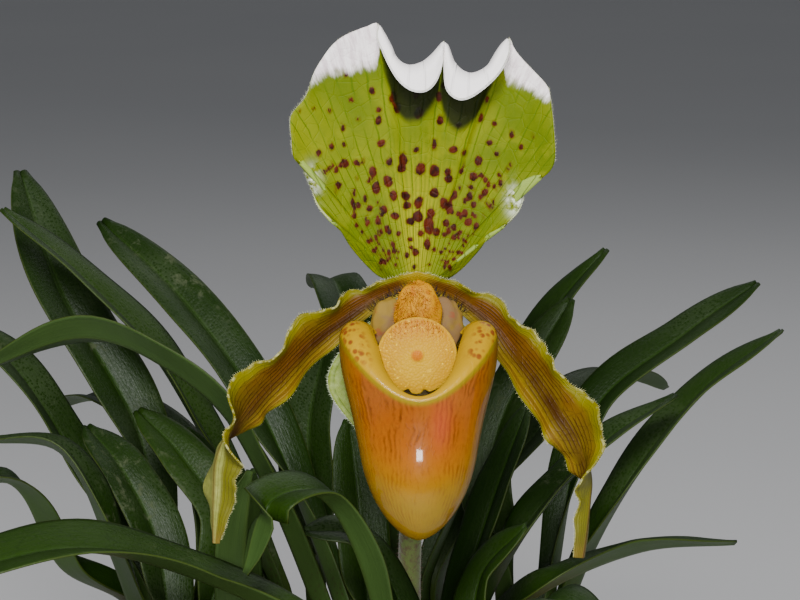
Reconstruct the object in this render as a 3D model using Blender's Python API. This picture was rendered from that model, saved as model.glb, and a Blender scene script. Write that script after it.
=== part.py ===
"""A slipper orchid in its pot: one open flower over several fans of strap leaves.

Lengths in the tables and functions are millimetres, and MM turns them into metres where a mesh is made.
The origin is the middle of the pot's underside, +Z is up, and the flower looks towards -Y.
"""

import math
import random

import bmesh
import bpy
from mathutils import Euler, Vector

MM = 0.001

# Pot and growing medium
POT_HEIGHT = 112.0
POT_RIM_RADIUS = 72.0
POT_TOP_RADIUS = 67.0
POT_FOOT_RADIUS = 50.0
POT_WALL = 4.0
POT_FLOOR = 5.0
POT_RIM_DEPTH = 20.0
POT_SEGMENTS = 40
DRAIN_RADIUS = 5.0
DRAIN_DISTANCE = 30.0
DRAIN_COUNT = 4
CLEARANCE = 0.3
MEDIUM_TOP = 103.0
POCKET_FLOOR = 96.0
CHIP_COUNT = 95
CHIP_MARGIN = 6.5
CHIP_SEED = 11
GOLDEN_ANGLE = math.radians(137.5)

# Leaves
LEAF_THICKNESS = 0.9
LEAF_COLUMNS = 4
LEAF_ROWS = 10
SHEATH_HALF_WIDTH = 4.6
SHEATH_FOLD = 62.0
BLADE_FOLD = 24.0
TIP_FOLD = 13.0
RANK_STEP = 3.2
COLLAR_HEIGHT = 30.0

# Flower: its middle is the middle of the staminode, and it faces up a little
FLOWER_MIDDLE = Vector((17.0, -48.0, 208.0))
FLOWER_TILT = math.radians(12.0)
PETAL_THICKNESS = 0.8
SEPAL_THICKNESS = 0.8
POUCH_THICKNESS = 0.9
OVARY_TOP = [(0.0, 10.6, -14.6), (0.0, 11.9, -12.0), (0.0, 11.9, -9.6)]


class Growth:
    """One fan of leaves: where it stands, which way the fan points, and the room left in its middle."""

    def __init__(self, x, y, heading, room):
        self.place = Vector((x, y, 0.0))
        self.right = Vector((math.cos(math.radians(heading)), math.sin(math.radians(heading)), 0.0))
        self.room = room


GROWTHS = {
    "flowering": Growth(16.0, 2.0, 5.0, 8.6),
    "front_left": Growth(-28.0, -15.0, 12.0, 5.4),
    "far_left": Growth(-38.0, 21.0, -20.0, 5.4),
    "back_left": Growth(-12.0, 38.0, -15.0, 5.4),
    "right": Growth(44.0, 22.0, 15.0, 5.4),
    "front": Growth(23.0, -31.0, 0.0, 5.4),
    "back": Growth(16.0, 50.0, 35.0, 5.4),
}

# Each leaf: its growth, its side of the fan (-1 left, 1 right), its rank counted from the middle,
# its full width, the roll of its blade half-way and at the tip, then the points that its mid-rib passes.
LEAVES = {
    "leaf_flowering_left_1": ("flowering", -1, 0, 14, 0, 0, [(4, 14, 150), (1, 24, 175)]),
    "leaf_flowering_left_2": ("flowering", -1, 1, 15, -14, -22, [(-20, 24, 176), (-40, 42, 200), (-62, 60, 217)]),
    "leaf_flowering_left_3": ("flowering", -1, 2, 16, 20, 40, [(-25, -5, 181), (-44, 0, 196), (-61, 4, 200), (-84, 5, 192)]),
    "leaf_flowering_right_1": ("flowering", 1, 0, 14, 0, 0, [(35, 9, 156), (44, 14, 181)]),
    "leaf_flowering_right_2": ("flowering", 1, 1, 15, 0, 0, [(43, -2, 155), (62, 9, 173), (79, 15, 183)]),
    "leaf_flowering_right_3": ("flowering", 1, 2, 15, 0, 0, [(47, -12, 144), (70, -4, 151), (92, 1, 151)]),
    "leaf_front_left_left_1": ("front_left", -1, 0, 14, 0, 0, [(-28, 5, 153), (-39, 16, 168), (-50, 24, 177)]),
    "leaf_front_left_left_2": ("front_left", -1, 1, 15, 0, 0, [(-43, -5, 152), (-52, 4, 168), (-61, 13, 176)]),
    "leaf_front_left_left_3": ("front_left", -1, 2, 16, 0, 0, [(-51, -27, 158), (-62, -23, 180), (-80, -21, 182)]),
    "leaf_front_left_left_4": ("front_left", -1, 3, 16, 0, 0, [(-44, -38, 140), (-52, -54, 150), (-62, -68, 148)]),
    "leaf_front_left_right_1": ("front_left", 1, 0, 14, 0, 0, [(-22, -16, 156), (-20, -17, 174)]),
    "leaf_far_left_left_1": ("far_left", -1, 0, 19, 0, 0, [(-53, 50, 164), (-74, 66, 198), (-86, 84, 226)]),
    "leaf_far_left_left_2": ("far_left", -1, 1, 16, 0, 0, [(-66, 36, 158), (-84, 42, 185), (-103, 46, 197)]),
    "leaf_far_left_left_3": ("far_left", -1, 2, 15, 0, 0, [(-68, 14, 141), (-78, 4, 165), (-94, -2, 161)]),
    "leaf_far_left_right_1": ("far_left", 1, 0, 14, 0, 0, [(-33, 24, 155), (-39, 27, 172)]),
    "leaf_back_left_left_1": ("back_left", -1, 0, 17, 0, 0, [(-44, 40, 182), (-66, 48, 205), (-86, 54, 221)]),
    "leaf_back_left_left_2": ("back_left", -1, 1, 17, 0, 0, [(-42, 66, 152), (-66, 92, 162), (-84, 114, 154)]),
    "leaf_back_left_right_1": ("back_left", 1, 0, 16, 0, 0, [(-9, 41, 166), (-4, 42, 192)]),
    "leaf_right_right_1": ("right", 1, 0, 15, 0, 0, [(62, 46, 170), (86, 58, 188), (105, 65, 200)]),
    "leaf_right_right_2": ("right", 1, 1, 15, 0, 0, [(66, 15, 157), (86, 27, 180), (107, 36, 194)]),
    "leaf_right_left_1": ("right", -1, 0, 15, 0, 0, [(37, 34, 166), (56, 46, 200)]),
    "leaf_front_left_low": ("front", -1, 0, 13, 0, 0, [(12, -22, 146), (2, -19, 159), (-8, -22, 161)]),
    "leaf_front_left_bend": ("front", -1, 1, 15, 0, 0, [(5, -34, 157), (-4, -37, 174), (-15, -45, 174), (-20, -48, 160)]),
    "leaf_front_left_wide": ("front", -1, 2, 20, 0, 0, [(-4, -36, 140), (-28, -37, 154), (-56, -48, 165), (-88, -64, 162)]),
    "leaf_front_right_1": ("front", 1, 0, 12, 0, 0, [(32, -22, 150), (42, -24, 163)]),
    "leaf_front_right_2": ("front", 1, 1, 15, 0, 0, [(41, -38, 143), (47, -47, 153), (58, -58, 150)]),
    "leaf_back_right_1": ("back", 1, 0, 15, 0, 0, [(42, 62, 172), (55, 68, 194), (67, 74, 207)]),
    "leaf_back_right_2": ("back", 1, 1, 16, 0, 0, [(52, 82, 158), (72, 102, 166), (88, 122, 158)]),
    "leaf_back_left_3": ("back", -1, 0, 16, 0, 0, [(4, 76, 172), (-4, 102, 192), (-10, 126, 186)]),
}


def clear_scene():
    for old in list(bpy.data.objects):
        bpy.data.objects.remove(old, do_unlink=True)


def plain_material(name, colour, roughness, metallic=0.0):
    material = bpy.data.materials.new(name)
    material.use_nodes = True
    shader = material.node_tree.nodes["Principled BSDF"]
    shader.inputs["Base Color"].default_value = (*colour, 1.0)
    shader.inputs["Roughness"].default_value = roughness
    shader.inputs["Metallic"].default_value = metallic
    return material


def piece_from(bm, name, material):
    """An object from a bmesh in millimetres, smooth, with its faces outwards."""
    bmesh.ops.scale(bm, vec=(MM, MM, MM), verts=bm.verts)
    mesh = bpy.data.meshes.new(name)
    bm.to_mesh(mesh)
    bm.free()
    mesh.shade_smooth()
    piece = bpy.data.objects.new(name, mesh)
    bpy.context.scene.collection.objects.link(piece)
    piece.data.materials.append(material)
    return piece


def solidify(piece, thickness, offset=0.0):
    wall = piece.modifiers.new("thickness", "SOLIDIFY")
    wall.thickness = thickness * MM
    wall.offset = offset
    wall.use_even_offset = False


def blade(name, columns, rows, place, thickness, material, joined=False, offset=0.0):
    """A sheet from a grid of columns and rows, each point put at place(across, along), then given its thickness."""
    bm = bmesh.new()
    bmesh.ops.create_grid(bm, x_segments=columns, y_segments=rows, size=0.5)
    for vert in bm.verts:
        vert.co = place(vert.co.x + 0.5, vert.co.y + 0.5)
    if joined:
        bmesh.ops.remove_doubles(bm, verts=bm.verts, dist=1e-4)
    bmesh.ops.triangulate(bm, faces=bm.faces, quad_method="FIXED")
    piece = piece_from(bm, name, material)
    solidify(piece, thickness, offset)
    return piece


def smooth_step(low, high, value):
    t = min(1.0, max(0.0, (value - low) / (high - low)))
    return t * t * (3.0 - 2.0 * t)


def along_points(points, t):
    """The point at t from 0 to 1 on a smooth curve through all the points, spaced by their distances."""
    knots = [0.0]
    for before, after in zip(points, points[1:]):
        knots.append(knots[-1] + (after - before).length)
    last = len(points) - 1
    at = t * knots[-1]
    i = max(k for k in range(last) if knots[k] <= at or k == 0)
    local = (at - knots[i]) / (knots[i + 1] - knots[i])

    def slope(k):
        low, high = max(k - 1, 0), min(k + 1, last)
        return (points[high] - points[low]) / (knots[high] - knots[low])

    step = knots[i + 1] - knots[i]
    a, b = points[i], points[i + 1]
    ta, tb = slope(i) * step, slope(i + 1) * step
    t2, t3 = local * local, local * local * local
    return (2 * t3 - 3 * t2 + 1) * a + (t3 - 2 * t2 + local) * ta + (3 * t2 - 2 * t3) * b + (t3 - t2) * tb


def along_values(values, t):
    """The number at t from 0 to 1 in a row of evenly spaced ones, eased from one to the next."""
    last = len(values) - 1
    i = min(int(t * last), last - 1)
    return values[i] + (values[i + 1] - values[i]) * smooth_step(0.0, 1.0, t * last - i)


def flower_point(u, v, w):
    """World millimetres of a point that lies u to the right, v up and w forward of the flower's middle."""
    sin, cos = math.sin(FLOWER_TILT), math.cos(FLOWER_TILT)
    return FLOWER_MIDDLE + Vector((u, v * sin - w * cos, v * cos + w * sin))


def curl(length, turn, radius):
    """How far a margin of this length goes on and across when it rolls over by turn and then runs straight."""
    bent = min(length, turn * radius)
    if turn < 1e-4:
        return length, 0.0
    angle = bent / radius
    on = radius * math.sin(angle) + (length - bent) * math.cos(angle)
    across = radius * (1.0 - math.cos(angle)) + (length - bent) * math.sin(angle)
    return on, across


def make_leaf(name, growth_name, side, rank, width, roll_middle, roll_tip, stations, material):
    growth = GROWTHS[growth_name]
    fan = growth.right * side
    foot = growth.place + fan * (growth.room + rank * RANK_STEP)
    foot.z = POCKET_FLOOR + CLEARANCE
    collar = foot + Vector((0.0, 0.0, COLLAR_HEIGHT)) + fan * (1.5 + 1.5 * rank)
    points = [foot, foot.lerp(collar, 0.5), collar] + [Vector(station) for station in stations]
    reach = points[-1] - foot
    reach.z = 0.0
    reach.normalize()
    up = Vector((0.0, 0.0, 1.0))

    def place(across, along):
        t = along
        middle = along_points(points, t)
        step = 0.01
        tangent = (along_points(points, min(1.0, t + step)) - along_points(points, max(0.0, t - step))).normalized()
        outward = fan.lerp(reach, smooth_step(0.3, 0.6, t)).normalized()
        face = up - outward
        face = (face - tangent * face.dot(tangent)).normalized()
        sideways = tangent.cross(face)
        roll = math.radians(along_values([0.0, 0.0, roll_middle, roll_tip], t))
        face, sideways = (
            face * math.cos(roll) + sideways * math.sin(roll),
            sideways * math.cos(roll) - face * math.sin(roll),
        )
        full = width / 2.0
        half = SHEATH_HALF_WIDTH + (full - SHEATH_HALF_WIDTH) * smooth_step(0.22, 0.6, t)
        end = max(0.0, (t - 0.62) / 0.38)
        half *= max(0.1, (1.0 - end**2.4)) ** 0.62
        fold = math.radians(
            SHEATH_FOLD + (BLADE_FOLD - SHEATH_FOLD) * smooth_step(0.22, 0.55, t)
            + (TIP_FOLD - BLADE_FOLD) * smooth_step(0.6, 1.0, t)
        )
        q = 2.0 * across - 1.0
        notch = 1.2 * (1.0 - abs(q)) * smooth_step(0.93, 1.0, t)
        return (
            middle
            + sideways * (half * q * math.cos(fold))
            + face * (half * abs(q) * math.sin(fold))
            - tangent * notch
        )

    return blade(name, LEAF_COLUMNS, LEAF_ROWS, place, LEAF_THICKNESS, material)


# The dorsal sepal's outline from its left foot over the top to its right foot, as (right, up) in the
# flower's plane. Where the margin folds forward it is the line on which it folds.
SEPAL_LEFT = [(-4.0, 15.6), (-9.0, 18.5), (-14.5, 24.0), (-19.3, 29.5), (-22.4, 36.0), (-26.0, 43.5),
              (-26.4, 50.0), (-23.6, 55.5), (-20.6, 61.0), (-15.5, 65.0)]
SEPAL_TOP = [(-8.6, 65.4), (-2.3, 58.8), (5.6, 60.6), (12.6, 56.6), (18.6, 61.8)]
SEPAL_RIGHT = [(23.4, 61.2), (26.6, 56.0), (28.0, 49.0), (28.4, 42.0), (24.0, 36.6), (20.6, 29.0),
               (15.4, 24.6), (9.0, 18.8), (4.0, 15.6)]
SEPAL_COLUMNS = 34
SEPAL_ROWS = 13
SEPAL_FOLD_START = 0.8
SEPAL_TOP_SHARE = 0.55


def make_dorsal_sepal(material):
    rim = [Vector((u, v, 0.0)) for u, v in SEPAL_LEFT + SEPAL_TOP + SEPAL_RIGHT]
    count = len(rim) - 1
    peaks = [i / count for i in (len(SEPAL_LEFT), len(SEPAL_LEFT) + 2, len(SEPAL_LEFT) + 4)]

    def fold_at(across):
        for low, high in zip(peaks, peaks[1:]):
            if low < across < high:
                return math.sin(math.pi * (across - low) / (high - low)) ** 1.2
        return 0.0

    def even_point(across):
        at = across * count
        i = min(int(at), count - 1)
        local = at - i
        before, a = rim[max(i - 1, 0)], rim[i]
        b, after = rim[i + 1], rim[min(i + 2, count)]
        ta, tb = (b - before) / 2.0, (after - a) / 2.0
        t2, t3 = local**2, local**3
        return (2 * t3 - 3 * t2 + 1) * a + (t3 - 2 * t2 + local) * ta + (3 * t2 - 2 * t3) * b + (t3 - t2) * tb

    def place(column, along):
        across = column + SEPAL_TOP_SHARE * math.sin(2.0 * math.pi * column) / (2.0 * math.pi)
        edge = even_point(across)
        q = 2.0 * across - 1.0
        foot = Vector((3.6 * q, 15.2 + 0.5 * q * q, 0.0))
        straight = min(1.0, along / SEPAL_FOLD_START)
        spot = foot.lerp(edge, straight**0.92)
        fold = fold_at(across)
        top = smooth_step(peaks[0] - 0.09, peaks[0], across) * (1.0 - smooth_step(peaks[2], peaks[2] + 0.09, across))
        beyond = max(0.0, (along - SEPAL_FOLD_START) / (1.0 - SEPAL_FOLD_START))
        length = (0.6 + top * 4.0 + fold * 4.6) * beyond
        up, forward = curl(length, math.radians(172.0) * fold, 2.1)
        away = (edge - foot).normalized()
        away = away.lerp(Vector((0.0, 1.0, 0.0)), top).normalized()
        height = straight
        hood = -11.8 + 4.0 * height + 4.5 * height * height
        side_wave = 1.1 * math.sin(across * 34.0) * (1.0 - top) * height**4
        reflex = -2.6 * q * q * height * (1.0 - 0.4 * top)
        flat = spot + away * up
        return flower_point(flat.x, flat.y, hood + side_wave + reflex + forward)

    return blade("dorsal_sepal", SEPAL_COLUMNS, SEPAL_ROWS, place, SEPAL_THICKNESS, material)


# Each petal's mid-line as (right, up, forward), half its width, and its roll from facing the viewer, in degrees
PETAL_LEFT = [
    ((-3.3, 13.4, -10.3), 1.8, 0), ((-8.8, 12.4, -9.8), 3.8, 8), ((-15.1, 8.9, -8.8), 5.0, 22),
    ((-22.5, 3.4, -5.0), 5.6, 34), ((-29.0, -3.4, -1.0), 5.8, 40), ((-35.2, -9.9, 2.0), 6.0, 48),
    ((-38.6, -15.0, 2.5), 5.6, 84), ((-41.0, -21.4, 1.5), 5.4, 126), ((-42.0, -28.4, 0.0), 4.8, 138),
    ((-42.3, -34.6, -1.0), 3.0, 128), ((-42.4, -39.6, -1.5), 0.8, 120),
]
PETAL_RIGHT = [
    ((3.3, 13.4, -10.3), 1.8, 0), ((9.5, 11.8, -9.8), 3.8, -8), ((16.2, 7.4, -8.8), 5.0, -20),
    ((21.6, 0.8, -6.0), 5.6, -28), ((26.4, -5.4, -2.0), 6.0, -30), ((30.6, -12.0, 2.0), 6.2, -28),
    ((34.0, -18.2, 2.5), 5.8, -40), ((35.4, -24.0, 2.0), 5.0, -80), ((35.8, -30.0, 0.5), 3.6, -118),
    ((35.2, -37.0, -0.5), 2.6, -128), ((34.6, -42.6, -1.0), 0.8, -130),
]
PETAL_COLUMNS = 6
PETAL_ROWS = 30
PETAL_WAVES = 7.0


def make_petal(name, stations, material):
    points = [Vector(place) for place, half, roll in stations]
    halves = [half for place, half, roll in stations]
    rolls = [roll for place, half, roll in stations]
    forward = Vector((0.0, 0.0, 1.0))

    def station_curve(t):
        last = len(points) - 1
        i = min(int(t * last), last - 1)
        local = t * last - i
        before, a, b = points[max(i - 1, 0)], points[i], points[i + 1]
        after = points[min(i + 2, last)]
        ta, tb = (b - before) / 2.0, (after - a) / 2.0
        t2, t3 = local**2, local**3
        return (2 * t3 - 3 * t2 + 1) * a + (t3 - 2 * t2 + local) * ta + (3 * t2 - 2 * t3) * b + (t3 - t2) * tb

    def place(across, along):
        t = along
        middle = station_curve(t)
        tangent = (station_curve(min(1.0, t + 0.01)) - station_curve(max(0.0, t - 0.01))).normalized()
        sideways = tangent.cross(forward).normalized()
        face = sideways.cross(tangent)
        roll = math.radians(along_values(rolls, t))
        sideways, face = (
            sideways * math.cos(roll) + face * math.sin(roll),
            face * math.cos(roll) - sideways * math.sin(roll),
        )
        q = 2.0 * across - 1.0
        ruffle = 0.9 * math.sin(PETAL_WAVES * 2.0 * math.pi * t + (0.9 if q > 0 else 0.0))
        ruffle *= abs(q) ** 2.5 * smooth_step(0.05, 0.2, t) * (1.0 - smooth_step(0.75, 0.95, t))
        groove = 0.9 * (abs(q) - 0.4)
        spot = middle + sideways * (along_values(halves, t) * q) + face * (ruffle + groove)
        return flower_point(*spot)

    return blade(name, PETAL_COLUMNS, PETAL_ROWS, place, PETAL_THICKNESS, material)


SYNSEPAL_COLUMNS = 8
SYNSEPAL_ROWS = 10


def make_synsepal(material):
    def place(across, along):
        q = 2.0 * across - 1.0
        half = 2.6 + 12.4 * math.sin(math.pi * min(1.0, along * 0.62 + 0.03)) ** 0.9
        half *= math.sqrt(max(0.02, 1.0 - along**5))
        u = -4.6 * smooth_step(0.0, 0.5, along) + q * half
        v = 8.5 - 42.4 * along
        w = -9.9 - 1.4 * math.sin(math.pi * along) + 3.2 * q * q * along
        return flower_point(u, v, w)

    return blade("synsepal", SYNSEPAL_COLUMNS, SYNSEPAL_ROWS, place, SEPAL_THICKNESS, material)


# The pouch
POUCH_COLUMNS = 28
POUCH_ROWS = 15
POUCH_TOE = -38.4
POUCH_FLAP_START = 0.72
POUCH_LIP_RADIUS = 1.6


def pouch_half_width(v):
    """Half the pouch's width at height v: a pointed toe that opens into a slightly flared mouth."""
    height = v - POUCH_TOE
    toe = (1.0 - max(0.0, 1.0 - height / 24.0) ** 2) ** 0.6
    return 12.8 * toe + 3.8 * smooth_step(18.0, 40.0, height)


def make_pouch(material):
    def place(across, along):
        turn = 2.0 * math.pi * across
        front, side = math.cos(turn), math.sin(turn)
        crest = 2.2 - 8.0 * front - 3.5 * math.cos(2.0 * turn)
        lobe = math.exp(-(((abs(math.pi - turn) - math.radians(84.0)) / math.radians(34.0)) ** 2))
        climb = min(1.0, along / POUCH_FLAP_START)
        v = POUCH_TOE + (crest - POUCH_TOE) * climb**1.35
        half = pouch_half_width(v)
        depth = half * (0.86 if front > 0 else 0.62)
        middle = 5.0 - 3.6 * smooth_step(0.0, 30.0, v - POUCH_TOE)
        beyond = max(0.0, (along - POUCH_FLAP_START) / (1.0 - POUCH_FLAP_START))
        length = (1.6 + 8.2 * lobe) * beyond
        up, inward = curl(length, math.radians(70.0 + 55.0 * lobe), POUCH_LIP_RADIUS)
        u = 0.6 + (half - inward) * side
        w = middle + (depth - inward * 0.85) * front
        return flower_point(u, v + up, w)

    return blade(
        "pouch", POUCH_COLUMNS, POUCH_ROWS, place, POUCH_THICKNESS, material, joined=True, offset=-1.0
    )


# The staminode and its column
STAMINODE_HALF_WIDTH = 8.3
STAMINODE_HALF_HEIGHT = 8.0
STAMINODE_FORWARD = 5.4


def make_staminode(material):
    bm = bmesh.new()
    bmesh.ops.create_uvsphere(bm, u_segments=28, v_segments=12, radius=1.0)
    for vert in bm.verts:
        x, y, z = vert.co
        radius = math.hypot(x, y)
        angle = math.atan2(y, x)
        below = max(0.0, -math.sin(angle)) ** 14
        notch = 0.09 * below * radius
        boss = 0.9 * math.exp(-((radius / 0.16) ** 2)) if z > 0 else 0.0
        dome = 1.5 if z > 0 else 1.0
        u = STAMINODE_HALF_WIDTH * x * (1.0 - notch)
        v = STAMINODE_HALF_HEIGHT * y * (1.0 - notch)
        vert.co = flower_point(u, v, STAMINODE_FORWARD + dome * z + boss)
    shield = piece_from(bm, "staminode", material)
    column = tube_mesh(
        "column", [(0.0, 11.9, -9.2), (0.0, 11.9, -6.6), (0.0, 9.8, -1.4), (0.0, 6.0, 2.6), (0.0, 2.5, 4.9)],
        [2.3, 2.4, 2.8, 2.8, 2.2], 14, material, in_flower=True,
    )
    join = shield.modifiers.new("column", "BOOLEAN")
    join.operation = "UNION"
    join.object = column
    apply_modifiers(shield)
    bpy.data.objects.remove(column, do_unlink=True)
    return shield


def apply_modifiers(piece):
    """Keeps what the modifiers make as the piece's own mesh."""
    graph = bpy.context.evaluated_depsgraph_get()
    made = bpy.data.meshes.new_from_object(piece.evaluated_get(graph))
    piece.modifiers.clear()
    piece.data = made


def tube_mesh(name, points, radii, sides, material, in_flower=False, ribs=0, cuts=4):
    """A closed tube through the points, as wide as radii say, with flat ends."""
    path = [flower_point(*point) if in_flower else Vector(point) for point in points]
    rings = cuts * (len(path) - 1)
    bm = bmesh.new()
    bmesh.ops.create_cone(bm, cap_ends=True, segments=sides, radius1=1.0, radius2=1.0, depth=1.0)
    upright = [edge for edge in bm.edges if abs(edge.verts[0].co.z - edge.verts[1].co.z) > 0.5]
    bmesh.ops.subdivide_edges(bm, edges=upright, cuts=rings - 1)
    for vert in bm.verts:
        t = min(1.0, max(0.0, vert.co.z + 0.5))
        angle = math.atan2(vert.co.y, vert.co.x)
        middle = along_points(path, t)
        tangent = (along_points(path, min(1.0, t + 0.01)) - along_points(path, max(0.0, t - 0.01))).normalized()
        sideways = tangent.cross(Vector((0.0, -1.0, 0.3))).normalized()
        front = tangent.cross(sideways)
        radius = along_values(radii, t) * (1.0 + (0.06 * math.cos(ribs * angle) if ribs else 0.0))
        vert.co = middle + sideways * (radius * math.cos(angle)) + front * (radius * math.sin(angle))
    return piece_from(bm, name, material)


SCAPE_FOOT = (16.0, 2.0, POCKET_FLOOR + CLEARANCE + 0.1)
SCAPE_PATH = [SCAPE_FOOT, (16.0, 1.9, 110.0), (15.7, -4.0, 130.0), (15.6, -12.0, 150.0), (16.4, -20.0, 174.0)]


def make_stem(scape_material, ovary_material, bract_material):
    top = Vector(SCAPE_PATH[-1])
    direction = (top - Vector(SCAPE_PATH[-2])).normalized()
    tube_mesh("scape", SCAPE_PATH, [2.9, 2.7, 2.6, 2.6], 10, scape_material)
    start = top + direction * CLEARANCE
    path = [start, start + direction * 11.0, Vector((17.0, -29.5, 203.0))]
    path += [flower_point(*point) for point in OVARY_TOP]
    tube_mesh("ovary", path, [2.7, 3.4, 3.4, 3.1, 2.8, 2.8], 16, ovary_material, ribs=6, cuts=3)

    def bract_place(across, along):
        t = 0.03 + 0.6 * along
        middle = along_points(path, t)
        round_half = math.radians(118.0) * (1.0 - 0.75 * smooth_step(0.35, 1.0, along))
        angle = math.pi / 2.0 + (2.0 * across - 1.0) * round_half
        radius = 4.3 + 2.4 * along**1.5
        return middle + Vector((radius * math.cos(angle), radius * math.sin(angle), 3.0 * along))

    blade("bract", 10, 8, bract_place, 0.7, bract_material)


def make_pot(material):
    inner_foot = POT_FOOT_RADIUS - POT_WALL
    inner_top = POT_TOP_RADIUS - POT_WALL
    rim_start = POT_HEIGHT - POT_RIM_DEPTH
    profile = [
        (0.0, 0.0), (POT_FOOT_RADIUS - 1.5, 0.0), (POT_FOOT_RADIUS, 1.5),
        (POT_TOP_RADIUS - 1.5, rim_start - 1.0), (POT_RIM_RADIUS - 1.0, rim_start), (POT_RIM_RADIUS, rim_start + 1.0),
        (POT_RIM_RADIUS, POT_HEIGHT - 1.5), (POT_RIM_RADIUS - 1.5, POT_HEIGHT), (inner_top + 3.0, POT_HEIGHT),
        (inner_top + 1.0, POT_HEIGHT - 2.0), (inner_foot, POT_FLOOR), (0.0, POT_FLOOR),
    ]
    bm = bmesh.new()
    verts = [bm.verts.new((radius, 0.0, height)) for radius, height in profile]
    edges = [bm.edges.new(pair) for pair in zip(verts, verts[1:])]
    bmesh.ops.spin(
        bm, geom=verts + edges, cent=(0, 0, 0), axis=(0, 0, 1), angle=2.0 * math.pi,
        steps=POT_SEGMENTS, use_merge=True,
    )
    bmesh.ops.remove_doubles(bm, verts=bm.verts, dist=1e-4)
    bmesh.ops.recalc_face_normals(bm, faces=bm.faces)
    pot = piece_from(bm, "pot", material)
    for index in range(DRAIN_COUNT):
        angle = 2.0 * math.pi * (index + 0.42) / DRAIN_COUNT
        bm = bmesh.new()
        bmesh.ops.create_cone(
            bm, cap_ends=True, segments=14, radius1=DRAIN_RADIUS, radius2=DRAIN_RADIUS, depth=POT_FLOOR * 3.0
        )
        shift = (DRAIN_DISTANCE * math.cos(angle), DRAIN_DISTANCE * math.sin(angle), POT_FLOOR / 2.0)
        bmesh.ops.translate(bm, vec=shift, verts=bm.verts)
        cut_from(pot, piece_from(bm, "drain", material))
    pot.data.set_sharp_from_angle(angle=math.radians(35.0))
    return pot


def cut_from(piece, cutter):
    cut = piece.modifiers.new("cut", "BOOLEAN")
    cut.operation = "DIFFERENCE"
    cut.object = cutter
    apply_modifiers(piece)
    bpy.data.objects.remove(cutter, do_unlink=True)


def medium_radius(height):
    """The room inside the pot at a height, less the clearance."""
    inner_foot = POT_FOOT_RADIUS - POT_WALL
    inner_top = POT_TOP_RADIUS - POT_WALL + 1.0
    share = (height - POT_FLOOR) / (POT_HEIGHT - 2.0 - POT_FLOOR)
    return inner_foot + (inner_top - inner_foot) * share - 2.0 * CLEARANCE


def pocket_sizes(growth, spread=1.0):
    """Half the length and half the width of the hollow in which a fan stands."""
    return (growth.room + 3.0 * RANK_STEP + 2.0) * spread, 7.6 * spread


def pocket_cutter(growth, material):
    """The hollow in which one fan stands: an oval that opens upwards."""
    height = 22.0
    bm = bmesh.new()
    bmesh.ops.create_cone(bm, cap_ends=True, segments=18, radius1=1.0, radius2=1.0, depth=height)
    sideways = Vector((-growth.right.y, growth.right.x, 0.0))
    for vert in bm.verts:
        long_half, short_half = pocket_sizes(growth, 1.0 if vert.co.z < 0 else 1.3)
        flat = growth.right * (vert.co.x * long_half) + sideways * (vert.co.y * short_half)
        vert.co = growth.place + flat + Vector((0.0, 0.0, POCKET_FLOOR + height / 2.0 + vert.co.z))
    return piece_from(bm, "pocket", material)


def clear_of_growths(x, y, margin):
    for growth in GROWTHS.values():
        away = Vector((x, y, 0.0)) - growth.place
        along = away.dot(growth.right)
        across = away.dot(Vector((-growth.right.y, growth.right.x, 0.0)))
        long_half, short_half = pocket_sizes(growth)
        if (along / (long_half + margin)) ** 2 + (across / (short_half + margin)) ** 2 < 1.0:
            return False
    return True


def make_chip(x, y, draw, material):
    """A block of bark with no two sides parallel, tilted a little and half sunk in the medium."""
    bm = bmesh.new()
    bmesh.ops.create_cube(bm, size=1.0)
    bmesh.ops.scale(bm, vec=(draw.uniform(8, 13), draw.uniform(6, 8), draw.uniform(5, 8)), verts=bm.verts)
    for vert in bm.verts:
        vert.co.x *= draw.uniform(0.75, 1.0)
        vert.co.y *= draw.uniform(0.75, 1.0)
    turn = Euler((draw.uniform(-0.35, 0.35), draw.uniform(-0.35, 0.35), draw.uniform(0.0, math.pi)))
    bmesh.ops.rotate(bm, cent=(0, 0, 0), matrix=turn.to_matrix(), verts=bm.verts)
    bmesh.ops.translate(bm, vec=(x, y, MEDIUM_TOP + draw.uniform(-0.5, 1.0)), verts=bm.verts)
    return piece_from(bm, "chip", material)


def join_all(piece, others, operation):
    """One Boolean with a collection of closed pieces, which are then removed."""
    group = bpy.data.collections.new("joined")
    bpy.context.scene.collection.children.link(group)
    for other in others:
        bpy.context.scene.collection.objects.unlink(other)
        group.objects.link(other)
    join = piece.modifiers.new("joined", "BOOLEAN")
    join.operation = operation
    join.operand_type = "COLLECTION"
    join.collection = group
    apply_modifiers(piece)
    for other in others:
        bpy.data.objects.remove(other, do_unlink=True)
    bpy.data.collections.remove(group)


def make_medium(material):
    """A plug of bark that fills the pot, with a hollow for each fan and loose chips over the rest."""
    low = POT_FLOOR + CLEARANCE
    bm = bmesh.new()
    bmesh.ops.create_cone(
        bm, cap_ends=True, segments=POT_SEGMENTS, radius1=medium_radius(low),
        radius2=medium_radius(MEDIUM_TOP), depth=MEDIUM_TOP - low,
    )
    bmesh.ops.translate(bm, vec=(0.0, 0.0, (MEDIUM_TOP + low) / 2.0), verts=bm.verts)
    medium = piece_from(bm, "growing_medium", material)
    join_all(medium, [pocket_cutter(growth, material) for growth in GROWTHS.values()], "DIFFERENCE")
    draw = random.Random(CHIP_SEED)
    chips = []
    for index in range(CHIP_COUNT):
        radius = (medium_radius(MEDIUM_TOP) - 8.5) * math.sqrt((index + 0.5) / CHIP_COUNT)
        angle = index * GOLDEN_ANGLE
        x, y = radius * math.cos(angle), radius * math.sin(angle)
        if clear_of_growths(x, y, CHIP_MARGIN):
            chips.append(make_chip(x, y, draw, material))
    join_all(medium, chips, "UNION")
    return medium


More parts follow.
